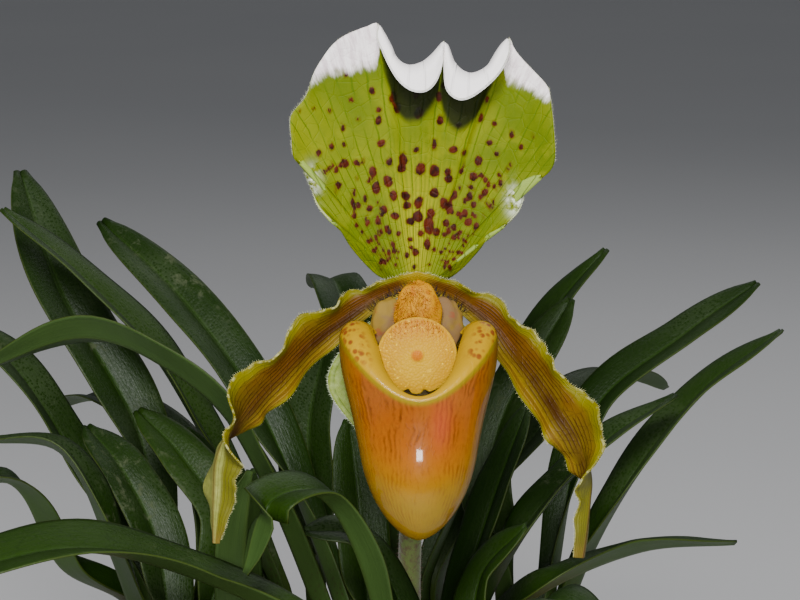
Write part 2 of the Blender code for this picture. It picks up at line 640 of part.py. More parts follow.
def main():
    clear_scene()
    leaf = plain_material("leaf_green", (0.035, 0.09, 0.03), 0.35)
    sepal = plain_material("sepal_green_white", (0.36, 0.46, 0.05), 0.5)
    petal = plain_material("petal_ochre", (0.38, 0.22, 0.03), 0.45)
    pouch = plain_material("pouch_orange", (0.5, 0.17, 0.06), 0.15)
    gold = plain_material("staminode_gold", (0.75, 0.48, 0.07), 0.5)
    stem = plain_material("stem_green", (0.1, 0.13, 0.04), 0.6)
    bark = plain_material("bark_brown", (0.12, 0.06, 0.03), 0.9)
    clay = plain_material("pot_clay", (0.42, 0.15, 0.07), 0.8)
    make_pot(clay)
    make_medium(bark)
    for name, (growth, side, rank, width, roll_middle, roll_tip, stations) in LEAVES.items():
        make_leaf(name, growth, side, rank, width, roll_middle, roll_tip, stations, leaf)
    make_stem(stem, stem, stem)
    make_dorsal_sepal(sepal)
    make_synsepal(sepal)
    make_petal("petal_left", PETAL_LEFT, petal)
    make_petal("petal_right", PETAL_RIGHT, petal)
    make_pouch(pouch)
    make_staminode(gold)


main()
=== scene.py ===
import math
import random

import bmesh
import bpy
from mathutils import Euler, Matrix, Vector, noise


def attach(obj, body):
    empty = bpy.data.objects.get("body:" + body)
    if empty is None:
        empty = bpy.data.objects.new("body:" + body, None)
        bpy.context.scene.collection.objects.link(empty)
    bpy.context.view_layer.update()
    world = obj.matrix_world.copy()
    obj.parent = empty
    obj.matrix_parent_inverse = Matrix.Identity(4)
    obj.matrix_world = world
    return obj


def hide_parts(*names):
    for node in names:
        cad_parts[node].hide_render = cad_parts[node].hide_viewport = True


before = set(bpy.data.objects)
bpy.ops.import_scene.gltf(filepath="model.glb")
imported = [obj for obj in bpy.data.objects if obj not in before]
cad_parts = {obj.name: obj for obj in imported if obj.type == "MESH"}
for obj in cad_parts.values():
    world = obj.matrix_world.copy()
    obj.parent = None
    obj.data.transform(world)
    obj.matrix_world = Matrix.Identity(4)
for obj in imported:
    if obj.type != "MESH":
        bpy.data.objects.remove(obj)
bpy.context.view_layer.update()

# Lengths in the tables and functions are millimetres, and MM turns them into metres where a mesh is made.
# The origin is the middle of the pot's underside, +Z is up, and the flower looks towards -Y.
MM = 0.001

# Pot and growing medium
POT_HEIGHT = 112.0
POT_RIM_RADIUS = 72.0
POT_TOP_RADIUS = 67.0
POT_FOOT_RADIUS = 50.0
POT_WALL = 4.0
POT_FLOOR = 5.0
POT_RIM_DEPTH = 20.0
POT_CORNER_RADIUS = 2.2
POT_SEGMENTS = 120
DRAIN_RADIUS = 5.0
DRAIN_DISTANCE = 30.0
DRAIN_COUNT = 4
CLEARANCE = 0.3
MEDIUM_TOP = 103.0
POCKET_FLOOR = 96.0
CHIP_COUNT = 150
CHIP_SEED = 11
GOLDEN_ANGLE = math.radians(137.5)

# Leaves
LEAF_THICKNESS = 0.9
LEAF_COLUMNS = 16
LEAF_ROWS = 60
SHEATH_HALF_WIDTH = 4.6
SHEATH_FOLD = 62.0
BLADE_FOLD = 24.0
TIP_FOLD = 13.0
LEAF_TIP_START = 0.68
LEAF_TIP_BLUNTNESS = 2.6
LEAF_TIP_POWER = 0.56
LEAF_TIP_LEAST = 0.06
LEAF_ARCH = 0.35
LEAF_WAVE = 0.25
LEAF_WAVES = 26.0
RANK_STEP = 3.2
COLLAR_HEIGHT = 30.0

# Flower: its middle is the middle of the staminode, and it faces up a little
FLOWER_MIDDLE = Vector((17.0, -48.0, 208.0))
FLOWER_TILT = math.radians(12.0)
PETAL_THICKNESS = 0.8
SEPAL_THICKNESS = 0.8
POUCH_THICKNESS = 0.9
OVARY_TOP = [(0.0, 10.6, -14.6), (0.0, 11.9, -12.0), (0.0, 11.9, -9.6)]


class Growth:
    """One fan of leaves: where it stands, which way the fan points, and the room left in its middle."""

    def __init__(self, x, y, heading, room):
        self.place = Vector((x, y, 0.0))
        self.right = Vector((math.cos(math.radians(heading)), math.sin(math.radians(heading)), 0.0))
        self.room = room


GROWTHS = {
    "flowering": Growth(16.0, 2.0, 5.0, 8.6),
    "front_left": Growth(-28.0, -15.0, 12.0, 5.4),
    "far_left": Growth(-38.0, 21.0, -20.0, 5.4),
    "back_left": Growth(-12.0, 38.0, -15.0, 5.4),
    "right": Growth(44.0, 22.0, 15.0, 5.4),
    "front": Growth(23.0, -31.0, 0.0, 5.4),
    "back": Growth(16.0, 50.0, 35.0, 5.4),
}

# Each leaf: its growth, its side of the fan (-1 left, 1 right), its rank counted from the middle,
# its full width, the roll of its blade half-way and at the tip, then the points that its mid-rib passes.
# The solid of each has the same name after leaf_.
LEAVES = {
    "flowering_left_1": ("flowering", -1, 0, 14, 0, 0, [(4, 14, 150), (1, 24, 175)]),
    "flowering_left_2": ("flowering", -1, 1, 15, -14, -22,
        [(-20, 24, 176), (-40, 42, 200), (-62, 60, 217)]),
    "flowering_left_3": ("flowering", -1, 2, 16, 20, 40,
        [(-25, -5, 181), (-44, 0, 196), (-61, 4, 200), (-84, 5, 192)]),
    "flowering_right_1": ("flowering", 1, 0, 14, 0, 0, [(35, 9, 156), (44, 14, 181)]),
    "flowering_right_2": ("flowering", 1, 1, 15, 0, 0, [(43, -2, 155), (62, 9, 173), (79, 15, 183)]),
    "flowering_right_3": ("flowering", 1, 2, 15, 0, 0, [(47, -12, 144), (70, -4, 151), (92, 1, 151)]),
    "front_left_left_1": ("front_left", -1, 0, 14, 0, 0, [(-28, 5, 153), (-39, 16, 168), (-50, 24, 177)]),
    "front_left_left_2": ("front_left", -1, 1, 15, 0, 0, [(-43, -5, 152), (-52, 4, 168), (-61, 13, 176)]),
    "front_left_left_3": ("front_left", -1, 2, 16, 0, 0,
        [(-51, -27, 158), (-62, -23, 180), (-80, -21, 182)]),
    "front_left_left_4": ("front_left", -1, 3, 16, 0, 0,
        [(-44, -38, 140), (-52, -54, 150), (-62, -68, 148)]),
    "front_left_right_1": ("front_left", 1, 0, 14, 0, 0, [(-22, -16, 156), (-20, -17, 174)]),
    "far_left_left_1": ("far_left", -1, 0, 19, 0, 0, [(-53, 50, 164), (-74, 66, 198), (-86, 84, 226)]),
    "far_left_left_2": ("far_left", -1, 1, 16, 0, 0, [(-66, 36, 158), (-84, 42, 185), (-103, 46, 197)]),
    "far_left_left_3": ("far_left", -1, 2, 15, 0, 0, [(-68, 14, 141), (-78, 4, 165), (-94, -2, 161)]),
    "far_left_right_1": ("far_left", 1, 0, 14, 0, 0, [(-33, 24, 155), (-39, 27, 172)]),
    "back_left_left_1": ("back_left", -1, 0, 17, 0, 0, [(-44, 40, 182), (-66, 48, 205), (-86, 54, 221)]),
    "back_left_left_2": ("back_left", -1, 1, 17, 0, 0, [(-42, 66, 152), (-66, 92, 162), (-84, 114, 154)]),
    "back_left_right_1": ("back_left", 1, 0, 16, 0, 0, [(-9, 41, 166), (-4, 42, 192)]),
    "right_right_1": ("right", 1, 0, 15, 0, 0, [(62, 46, 170), (86, 58, 188), (105, 65, 200)]),
    "right_right_2": ("right", 1, 1, 15, 0, 0, [(66, 15, 157), (86, 27, 180), (107, 36, 194)]),
    "right_left_1": ("right", -1, 0, 15, 0, 0, [(37, 34, 166), (56, 46, 200)]),
    "front_left_low": ("front", -1, 0, 13, 0, 0, [(12, -22, 146), (2, -19, 159), (-8, -22, 161)]),
    "front_left_bend": ("front", -1, 1, 15, 0, 0,
        [(5, -34, 157), (-4, -37, 174), (-15, -45, 174), (-20, -48, 160)]),
    "front_left_wide": ("front", -1, 2, 20, 0, 0,
        [(-4, -36, 140), (-28, -37, 154), (-56, -48, 165), (-88, -64, 162)]),
    "front_right_1": ("front", 1, 0, 12, 0, 0, [(32, -22, 150), (42, -24, 163)]),
    "front_right_2": ("front", 1, 1, 15, 0, 0, [(41, -38, 143), (47, -47, 153), (58, -58, 150)]),
    "back_right_1": ("back", 1, 0, 15, 0, 0, [(42, 62, 172), (55, 68, 194), (67, 74, 207)]),
    "back_right_2": ("back", 1, 1, 16, 0, 0, [(52, 82, 158), (72, 102, 166), (88, 122, 158)]),
    "back_left_3": ("back", -1, 0, 16, 0, 0, [(4, 76, 172), (-4, 102, 192), (-10, 126, 186)]),
}


# Shader maths
MIX_COLOUR_PORTS = (0, 6, 7)
MIX_COLOUR_OUTPUT = 2


def lead(value, port, tree):
    """Leads a wire into a port, or puts a plain number or colour in it."""
    if isinstance(value, Wire):
        tree.links.new(value.socket, port)
    elif isinstance(value, tuple):
        port.default_value = (*value, 1.0)
    else:
        port.default_value = value


class Wire:
    """A value inside a material, so that shader maths reads as plain expressions."""

    def __init__(self, tree, socket):
        self.tree = tree
        self.socket = socket

    def maths(self, operation, *values):
        made = self.tree.nodes.new("ShaderNodeMath")
        made.operation = operation
        for port, value in zip(made.inputs, values):
            lead(value, port, self.tree)
        return Wire(self.tree, made.outputs[0])

    def __add__(self, other):
        return self.maths("ADD", self, other)

    __radd__ = __add__

    def __mul__(self, other):
        return self.maths("MULTIPLY", self, other)

    __rmul__ = __mul__

    def __sub__(self, other):
        return self.maths("SUBTRACT", self, other)

    def __rsub__(self, other):
        return self.maths("SUBTRACT", other, self)

    def __pow__(self, other):
        return self.maths("POWER", self, other)

    def __abs__(self):
        return self.maths("ABSOLUTE", self)

    def wrapped(self):
        """Its part after the point."""
        return self.maths("FRACT", self)

    def or_less(self, other):
        return self.maths("MINIMUM", self, other)

    def or_more(self, other):
        return self.maths("MAXIMUM", self, other)


class Finish:
    """A material in the making: node() adds any node, and the other methods are short for common ones.
    Its colour starts plain and is then painted over, one layer after the other."""

    def __init__(self, name, constants):
        self.material = bpy.data.materials.new(name)
        self.material.use_nodes = True
        self.tree = self.material.node_tree
        self.shader = self.tree.nodes["Principled BSDF"]
        for socket, value in constants.items():
            self.shader.inputs[socket].default_value = value
        self.object_place = self.node("TexCoord", {}, {}, "Object")

    def node(self, kind, settings, sockets, output=0):
        made = self.tree.nodes.new("ShaderNode" + kind)
        for setting, value in settings.items():
            setattr(made, setting, value)
        for socket, value in sockets.items():
            lead(value, made.inputs[socket], self.tree)
        return Wire(self.tree, made.outputs[output])

    def notes(self, *names):
        """What the mesh's maker noted about each point under these names."""
        return [self.node("Attribute", {"attribute_name": name}, {}, "Fac") for name in names]

    def between(self, value, start, end):
        """Eases from 0 to 1 as value goes from start to end, which may be the lower one."""
        rises = start < end
        return self.node("MapRange", {"interpolation_type": "SMOOTHSTEP"}, {
            "Value": value, "From Min": min(start, end), "From Max": max(start, end),
            "To Min": 0.0 if rises else 1.0, "To Max": 1.0 if rises else 0.0,
        })

    def lines(self, value, start, end):
        """Lines across value, one wherever it passes a whole number and a half."""
        return self.between(abs(value.wrapped() - 0.5), start, end)

    def place(self, x, y, z=0.0):
        return self.node("CombineXYZ", {}, {"X": x, "Y": y, "Z": z})

    def grain(self, scale, detail=3.0, roughness=0.55, place=None, distortion=0.0):
        """Soft noise from 0 to 1, over the object's own place unless another place is given."""
        return self.node("TexNoise", {}, {
            "Vector": place or self.object_place, "Scale": scale, "Detail": detail, "Roughness": roughness,
            "Distortion": distortion,
        }, "Fac")

    def patches(self, start, end, scale, detail=3.0, roughness=0.55, distortion=0.0):
        """Soft patches, where such noise goes from start to end."""
        return self.between(self.grain(scale, detail, roughness, distortion=distortion), start, end)

    def cells(self, scale, feature="F1", place=None, output="Distance"):
        sockets = {"Vector": place or self.object_place, "Scale": scale}
        return self.node("TexVoronoi", {"feature": feature}, sockets, output)

    def mix(self, share, first, second):
        """From the first colour to the second as share goes from 0 to 1."""
        sockets = dict(zip(MIX_COLOUR_PORTS, (share, first, second)))
        return self.node("Mix", {"data_type": "RGBA"}, sockets, MIX_COLOUR_OUTPUT)

    def start(self, share, first, second):
        """Makes the ground of the colour."""
        self.colour = self.mix(share, first, second)

    def paint(self, share, colour):
        """Paints a layer over the colour, as strongly as share says from 0 to 1."""
        self.colour = self.mix(share, self.colour, colour)

    def feed(self, socket, value):
        self.tree.links.new(value.socket, self.shader.inputs[socket])

    def done(self, roughness, height, distance, strength):
        """The finished material, its relief distance millimetres deep where height goes from 0 to 1."""
        sockets = {"Height": height, "Distance": distance * MM, "Strength": strength}
        self.feed("Base Color", self.colour)
        self.feed("Roughness", roughness)
        self.feed("Normal", self.node("Bump", {}, sockets, "Normal"))
        return self.material


# Mesh making
CURVE_STEP = 0.01
JOIN_DISTANCE = 1e-3
HAIR_SIDES = 3
HAIR_ROOT = 0.1
FRINGE_SPAN = 0.94
FRINGE_RADIUS = 0.055
LEAST_MARGIN = 0.1


def smooth_step(low, high, value):
    t = min(1.0, max(0.0, (value - low) / (high - low)))
    return t * t * (3.0 - 2.0 * t)


def bell(value, middle, spread):
    return math.exp(-(((value - middle) / spread) ** 2))


def cubic(before, a, b, after, local, share_before=0.5, share_after=0.5):
    """A point between a and b on a smooth curve that also heeds the points before and after them."""
    ta, tb = (b - before) * share_before, (after - a) * share_after
    t2, t3 = local * local, local * local * local
    return (2 * t3 - 3 * t2 + 1) * a + (t3 - 2 * t2 + local) * ta + (3 * t2 - 2 * t3) * b + (t3 - t2) * tb


def along_points(points, t):
    """The point at t from 0 to 1 on a smooth curve through all the points, spaced by their distances."""
    knots = [0.0]
    for before, after in zip(points, points[1:]):
        knots.append(knots[-1] + (after - before).length)
    last = len(points) - 1
    at = t * knots[-1]
    i = max(k for k in range(last) if knots[k] <= at or k == 0)
    step = knots[i + 1] - knots[i]
    low, high = max(i - 1, 0), min(i + 2, last)
    share_before = step / (knots[i + 1] - knots[low])
    share_after = step / (knots[high] - knots[i])
    local = (at - knots[i]) / step
    return cubic(points[low], points[i], points[i + 1], points[high], local, share_before, share_after)


def along_evenly(points, t):
    """The point at t from 0 to 1 on a smooth curve through all the points, each the same share of it."""
    last = len(points) - 1
    i = min(int(t * last), last - 1)
    return cubic(points[max(i - 1, 0)], points[i], points[i + 1], points[min(i + 2, last)], t * last - i)


def along_values(values, t):
    """The number at t from 0 to 1 in a row of evenly spaced ones, eased from one to the next."""
    last = len(values) - 1
    i = min(int(t * last), last - 1)
    return values[i] + (values[i + 1] - values[i]) * smooth_step(0.0, 1.0, t * last - i)


def direction_along(curve, t):
    return (curve(min(1.0, t + CURVE_STEP)) - curve(max(0.0, t - CURVE_STEP))).normalized()


def rolled(first, second, degrees):
    """Two directions at right angles to each other, both turned by degrees in the plane that they share."""
    cos, sin = math.cos(math.radians(degrees)), math.sin(math.radians(degrees))
    return first * cos + second * sin, second * cos - first * sin


def flower_point(u, v, w):
    """World millimetres of a point that lies u to the right, v up and w forward of the flower's middle."""
    sin, cos = math.sin(FLOWER_TILT), math.cos(FLOWER_TILT)
    return FLOWER_MIDDLE + Vector((u, v * sin - w * cos, v * cos + w * sin))


def curl(length, turn, radius):
    """How far a margin of this length goes on and across when it rolls over by turn, then runs straight."""
    bent = min(length, turn * radius)
    if turn < 1e-4:
        return length, 0.0
    angle = bent / radius
    on = radius * math.sin(angle) + (length - bent) * math.cos(angle)
    across = radius * (1.0 - math.cos(angle)) + (length - bent) * math.sin(angle)
    return on, across


def piece_from(bm, name, finishes):
    """An object from a bmesh in millimetres, smooth, riding on the plant."""
    bmesh.ops.scale(bm, vec=(MM, MM, MM), verts=bm.verts)
    mesh = bpy.data.meshes.new(name)
    bm.to_mesh(mesh)
    bm.free()
    mesh.shade_smooth()
    piece = bpy.data.objects.new(name, mesh)
    bpy.context.scene.collection.objects.link(piece)
    for finish in finishes:
        mesh.materials.append(finish)
    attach(piece, "root")
    return piece


def sheet(name, columns, rows, place, thickness, finishes, joined=False, offset=0.0):
    """A sheet from a grid, each point put where place(across, along) says, then given its thickness.
    What place notes about a point is kept for the materials, and a "thick" below 1 thins the wall there."""
    bm = bmesh.new()
    bmesh.ops.create_grid(bm, x_segments=columns, y_segments=rows, size=0.5)
    layers = {note: bm.verts.layers.float.new(note) for note in place(0.5, 0.5)[1]}
    weights = bm.verts.layers.deform.verify()
    for vert in bm.verts:
        vert.co, notes = place(vert.co.x + 0.5, vert.co.y + 0.5)
        vert[weights][0] = notes.get("thick", 1.0)
        for note, value in notes.items():
            vert[layers[note]] = value
    if joined:
        bmesh.ops.remove_doubles(bm, verts=bm.verts, dist=JOIN_DISTANCE)
    piece = piece_from(bm, name, finishes)
    piece.vertex_groups.new(name="thick")
    wall = piece.modifiers.new("thickness", "SOLIDIFY")
    wall.thickness = thickness * MM
    wall.offset = offset
    wall.use_even_offset = False
    wall.vertex_group = "thick"
    wall.material_offset = len(finishes) - 1
    return piece


def stand_for(piece, slot, *nodes):
    if nodes:
        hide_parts(*nodes)
    return piece


class Hairs:
    """A tuft of short hairs in one mesh, each a slim three-sided point."""

    def __init__(self, seed):
        self.bm = bmesh.new()
        self.draw = random.Random(seed)

    def add(self, root, direction, length, radius, wander=0.35):
        shake = Vector([self.draw.gauss(0, wander) for axis in range(3)])
        direction = (direction.normalized() + shake).normalized()
        length *= self.draw.uniform(0.6, 1.15)
        turn = direction.to_track_quat("Z", "Y").to_matrix().to_4x4()
        middle = root + direction * (length / 2.0 - HAIR_ROOT)
        bmesh.ops.create_cone(
            self.bm, cap_ends=True, segments=HAIR_SIDES, radius1=radius, radius2=0.0, depth=length,
            matrix=Matrix.Translation(middle) @ turn,
        )

    def fringe(self, surface, count, sides, start, length, wander):
        """Hairs that stand out from the margins of a blade, from start onwards."""
        for index in range(count):
            t = start + FRINGE_SPAN * (index + 0.5) / count
            for side in sides:
                edge = surface(side, t)[0]
                outward = edge - surface(0.5 + (side - 0.5) * 0.8, t)[0]
                if outward.length > LEAST_MARGIN:
                    self.add(edge, outward, length, FRINGE_RADIUS, wander)

    def done(self, name, slot, look, dark, light):
        stand_for(piece_from(self.bm, name, [hair_finish(look, dark, light)]), slot)


def hair_finish(name, dark, light):
    finish = Finish(name, {"Roughness": 0.55, "Specular IOR Level": 0.3})
    finish.feed("Base Color", finish.mix(finish.grain(500.0, 2.0), dark, light))
    return finish.material


# Leaves

def leaf_surface(name, seed):
    """Where the points of one leaf lie, and what they are like."""
    growth_name, side, rank, width, roll_middle, roll_tip, stations = LEAVES[name]
    growth = GROWTHS[growth_name]
    fan = growth.right * side
    foot = growth.place + fan * (growth.room + rank * RANK_STEP)
    foot.z = POCKET_FLOOR + CLEARANCE
    collar = foot + Vector((0.0, 0.0, COLLAR_HEIGHT)) + fan * (1.5 + 1.5 * rank)
    points = [foot, foot.lerp(collar, 0.5), collar] + [Vector(station) for station in stations]
    reach = points[-1] - foot
    reach.z = 0.0
    reach.normalize()
    up = Vector((0.0, 0.0, 1.0))
    draw = random.Random(seed)
    tint = draw.random()
    phase = draw.uniform(0.0, 6.28)

    def middle_curve(t):
        return along_points(points, t)

    def place(across, along):
        t = along
        q = 2.0 * across - 1.0
        tangent = direction_along(middle_curve, t)
        outward = fan.lerp(reach, smooth_step(0.3, 0.6, t)).normalized()
        face = up - outward
        face = (face - tangent * face.dot(tangent)).normalized()
        sideways = tangent.cross(face)
        face, sideways = rolled(face, sideways, along_values([0.0, 0.0, roll_middle, roll_tip], t))
        half = SHEATH_HALF_WIDTH + (width / 2.0 - SHEATH_HALF_WIDTH) * smooth_step(0.22, 0.6, t)
        end = max(0.0, (t - LEAF_TIP_START) / (1.0 - LEAF_TIP_START))
        half *= max(LEAF_TIP_LEAST, 1.0 - end**LEAF_TIP_BLUNTNESS) ** LEAF_TIP_POWER
        fold = math.radians(
            SHEATH_FOLD + (BLADE_FOLD - SHEATH_FOLD) * smooth_step(0.22, 0.55, t)
            + (TIP_FOLD - BLADE_FOLD) * smooth_step(0.6, 1.0, t)
        )
        notch = (0.8 * (1.0 - abs(q)) - 0.6 * (1.0 - q * q)) * smooth_step(0.95, 1.0, t)
        blade_share = smooth_step(0.3, 0.55, t)
        arch = LEAF_ARCH * blade_share * (1.0 - (2.0 * abs(q) - 1.0) ** 2)
        wave = LEAF_WAVE * blade_share * q * q * math.sin(LEAF_WAVES * t + phase + 2.0 * q)
        point = (
            middle_curve(t)
            + sideways * (half * q * math.cos(fold))
            + face * (half * abs(q) * math.sin(fold) + arch + wave)
            - tangent * notch
        )
        notes = {
            "across": q,
            "along": t,
            "tint": tint,
            "thick": 1.0 - 0.62 * smooth_step(0.55, 1.0, abs(q)) - 0.15 * smooth_step(0.85, 1.0, t),
        }
        return point, notes

    return place


def leaf_green():
    """The upper face: deep green, finely streaked, with a thin pale margin, a sunken mid-rib, a silvery
    granular bloom that is partly a painted sheen, and dull scuffs."""
    finish = Finish("leaf_green", {"Specular IOR Level": 0.13})
    q, t, tint = finish.notes("across", "along", "tint")
    streaks = finish.grain(1.0, 4.0, place=finish.place(q * 30.0, t * 5.0, tint * 40.0))
    clouds = finish.grain(55.0)
    specks = finish.cells(1300.0)
    finish.start(clouds * 0.55 + streaks * 0.5, (0.0022, 0.007, 0.0006), (0.0105, 0.029, 0.0014))
    finish.paint(finish.between(tint, 0.35, 1.0) * 0.35, (0.02, 0.048, 0.003))
    cells = finish.cells(1.0, "DISTANCE_TO_EDGE", place=finish.place(q * 9.0, t * 26.0, tint * 9.0))
    net = finish.between(cells, 0.1, 0.0)
    finish.paint(net * 0.3, (0.004, 0.012, 0.002))
    rib_line = finish.between(abs(q), 0.045, 0.012)
    near_rib = finish.between(abs(q), 0.16, 0.03)
    finish.paint(near_rib * 0.35, (0.022, 0.055, 0.004))
    finish.paint(rib_line * 0.6, (0.003, 0.01, 0.001))
    margin = finish.between(abs(q), 0.955, 0.995)
    finish.paint(margin * 0.5, (0.045, 0.062, 0.01))
    low = finish.between(t, 0.3, 0.1)
    finish.paint(low * 0.7, (0.05, 0.08, 0.012))
    # Grey granular bloom, partly a painted sheen standing in for light caught by the leaf's fine grain.
    bloom_and_painted_sheen = finish.patches(0.42, 0.68, 30.0, 2.0) * finish.between(specks, 0.25, 0.5)
    finish.paint(bloom_and_painted_sheen * 0.35, (0.04, 0.06, 0.025))
    scuffs = finish.patches(0.52, 0.68, 330.0, 5.0, 0.7, distortion=0.4)
    scuffs = scuffs * finish.patches(0.5, 0.66, 26.0, 2.0)
    finish.paint(scuffs * 0.5, (0.075, 0.085, 0.045))
    roughness = 0.3 + streaks * 0.12 + scuffs * 0.3 + specks * 0.12
    return finish.done(roughness, streaks * 0.6 + specks * 0.6 - near_rib * 0.5 - net * 0.2, 0.12, 0.8)


def leaf_underside():
    """The underside: paler, keeled along the middle, with purple flecks low down."""
    finish = Finish("leaf_underside", {"Specular IOR Level": 0.15})
    q, t, tint = finish.notes("across", "along", "tint")
    streaks = finish.grain(1.0, 4.0, place=finish.place(q * 30.0, t * 4.0, tint * 40.0))
    clouds = finish.grain(70.0)
    finish.start(clouds * 0.5 + streaks * 0.5, (0.014, 0.032, 0.006), (0.04, 0.08, 0.016))
    keel = finish.between(abs(q), 0.12, 0.0)
    finish.paint(keel * 0.4, (0.06, 0.1, 0.02))
    flecks = finish.between(finish.cells(900.0), 0.34, 0.26)
    low = finish.between(t, 0.4, 0.12)
    finish.paint(flecks * low * 0.75, (0.03, 0.005, 0.008))
    return finish.done(0.42 + streaks * 0.2, streaks + keel * 0.6, 0.1, 0.6)


def make_leaves():
    top, under = leaf_green(), leaf_underside()
    for seed, name in enumerate(LEAVES):
        surface = leaf_surface(name, seed)
        node = "leaf_" + name
        blade = sheet(node + "_blade", LEAF_COLUMNS, LEAF_ROWS, surface, LEAF_THICKNESS, [top, under])
        stand_for(blade, "leaf", node)


# Dorsal sepal, as (right, up) in the flower's plane. Its outline runs from its left foot over the top to its
# right foot. Between the three peaks the margin rolls forward over the crest and hangs down to the lip.
SEPAL_LEFT = [
    (-4.0, 15.6), (-7.5, 16.6), (-10.1, 18.7), (-13.6, 22.7), (-16.1, 26.6), (-18.6, 28.8),
    (-20.8, 31.5), (-22.2, 35.1), (-23.6, 38.4), (-23.9, 40.8), (-25.7, 41.6), (-26.2, 45.2),
    (-26.4, 50.0), (-23.8, 53.4), (-22.7, 55.8), (-21.9, 58.5), (-20.5, 61.2), (-18.0, 64.8),
    (-15.6, 66.9), (-13.0, 68.3), (-10.6, 69.3),
]
SEPAL_CREST = [
    (-8.4, 69.4), (-6.9, 67.2), (-5.6, 64.6), (-4.5, 62.0), (-2.9, 60.5), (-1.0, 60.2), (1.3, 61.0),
    (3.3, 62.7), (4.7, 64.4), (5.4, 65.3), (5.7, 65.5), (6.4, 64.8), (7.0, 63.1), (7.7, 61.2),
    (9.2, 59.4), (11.1, 58.5), (13.1, 58.9), (15.1, 60.3), (16.6, 62.9), (18.1, 65.2), (19.5, 66.3),
]
SEPAL_LIP = [
    (-8.3, 70.0), (-8.3, 66.6), (-7.1, 63.6), (-5.4, 60.0), (-3.6, 57.3), (-1.2, 55.5), (1.3, 55.2),
    (3.2, 56.4), (4.6, 59.0), (5.4, 62.6), (5.7, 66.1), (5.8, 61.6), (5.95, 57.3), (6.7, 55.0),
    (8.7, 53.6), (10.9, 53.9), (13.3, 55.4), (16.0, 57.8), (18.0, 60.4), (19.3, 63.6), (19.5, 67.0),
]
SEPAL_RIGHT = [
    (20.6, 64.6), (22.6, 62.0), (25.3, 59.0), (27.2, 56.6), (27.8, 54.6), (28.5, 49.2), (28.9, 41.4),
    (27.3, 38.4), (24.6, 37.6), (22.3, 36.2), (22.3, 32.8), (21.1, 30.0), (18.4, 27.2), (14.9, 25.0),
    (13.3, 22.6), (9.8, 18.7), (7.0, 16.6), (4.0, 15.6),
]
SEPAL_RIM = [Vector((u, v, 0.0)) for u, v in SEPAL_LEFT + SEPAL_CREST + SEPAL_RIGHT]
SEPAL_HEM = [Vector((u, v, 0.0)) for u, v in SEPAL_LEFT + SEPAL_LIP + SEPAL_RIGHT]
SEPAL_PEAKS = [(len(SEPAL_LEFT) + i) / (len(SEPAL_RIM) - 1) for i in (0, 10, 20)]
SEPAL_COLUMNS = 236
SEPAL_ROWS = 100
SEPAL_FOLD_START = 0.8
SEPAL_ROLL = 2.5
SEPAL_SEED = 5
SEPAL_SPOT_COLUMNS = 6
SEPAL_SMALL_SPOTS = 110
SEPAL_SPOT_REACH = 3.2
SEPAL_HAIRS = 620
SEPAL_HAIR_SEED = 31
SEPAL_HAIRS_END = 68.5
SEPAL_SHORT_HAIRS_START = 56.0
SEPAL_TOP_HAIR = 0.4
SEPAL_SIDE_HAIR = 0.85
FAN_CENTRE = 6.0
FAN_SPREAD = 0.68


def sepal_spots():
    """The maroon spots as (right, up, radius, squash): staggered rows up the veins, largest in the middle,
    and a sprinkle of small ones along both sides."""
    draw = random.Random(SEPAL_SEED)
    spots = []
    for column in range(-SEPAL_SPOT_COLUMNS, SEPAL_SPOT_COLUMNS + 1):
        share = column / (SEPAL_SPOT_COLUMNS + 1)
        height = 20.0 + 1.9 * (column % 2) + draw.uniform(-1.0, 1.0)
        limit = 63.0 - 16.0 * abs(share + 0.1) ** 1.3
        while height < limit:
            size = (0.45 + 0.55 * bell(share, 0.0, 0.5)) * (0.78 + 0.28 * bell(height, 34.0, 10.0))
            size *= draw.uniform(0.8, 1.2) * (0.6 + 0.4 * smooth_step(20.0, 29.0, height))
            u = share * FAN_SPREAD * (height - FAN_CENTRE) + draw.gauss(0.3, 0.6)
            if draw.random() > 0.14:
                spots.append((u, height + draw.gauss(0.0, 0.8), size, draw.uniform(0.62, 1.15)))
            height += 3.0 + 0.035 * (height - 18.0) + draw.uniform(-0.4, 0.6)
    for index in range(SEPAL_SMALL_SPOTS):
        share = draw.choice((-1, 1)) * draw.uniform(0.4, 0.93)
        height = draw.uniform(18.5, 42.0)
        spots.append((share * FAN_SPREAD * (height - FAN_CENTRE), height, draw.uniform(0.2, 0.46), 0.7))
    return spots


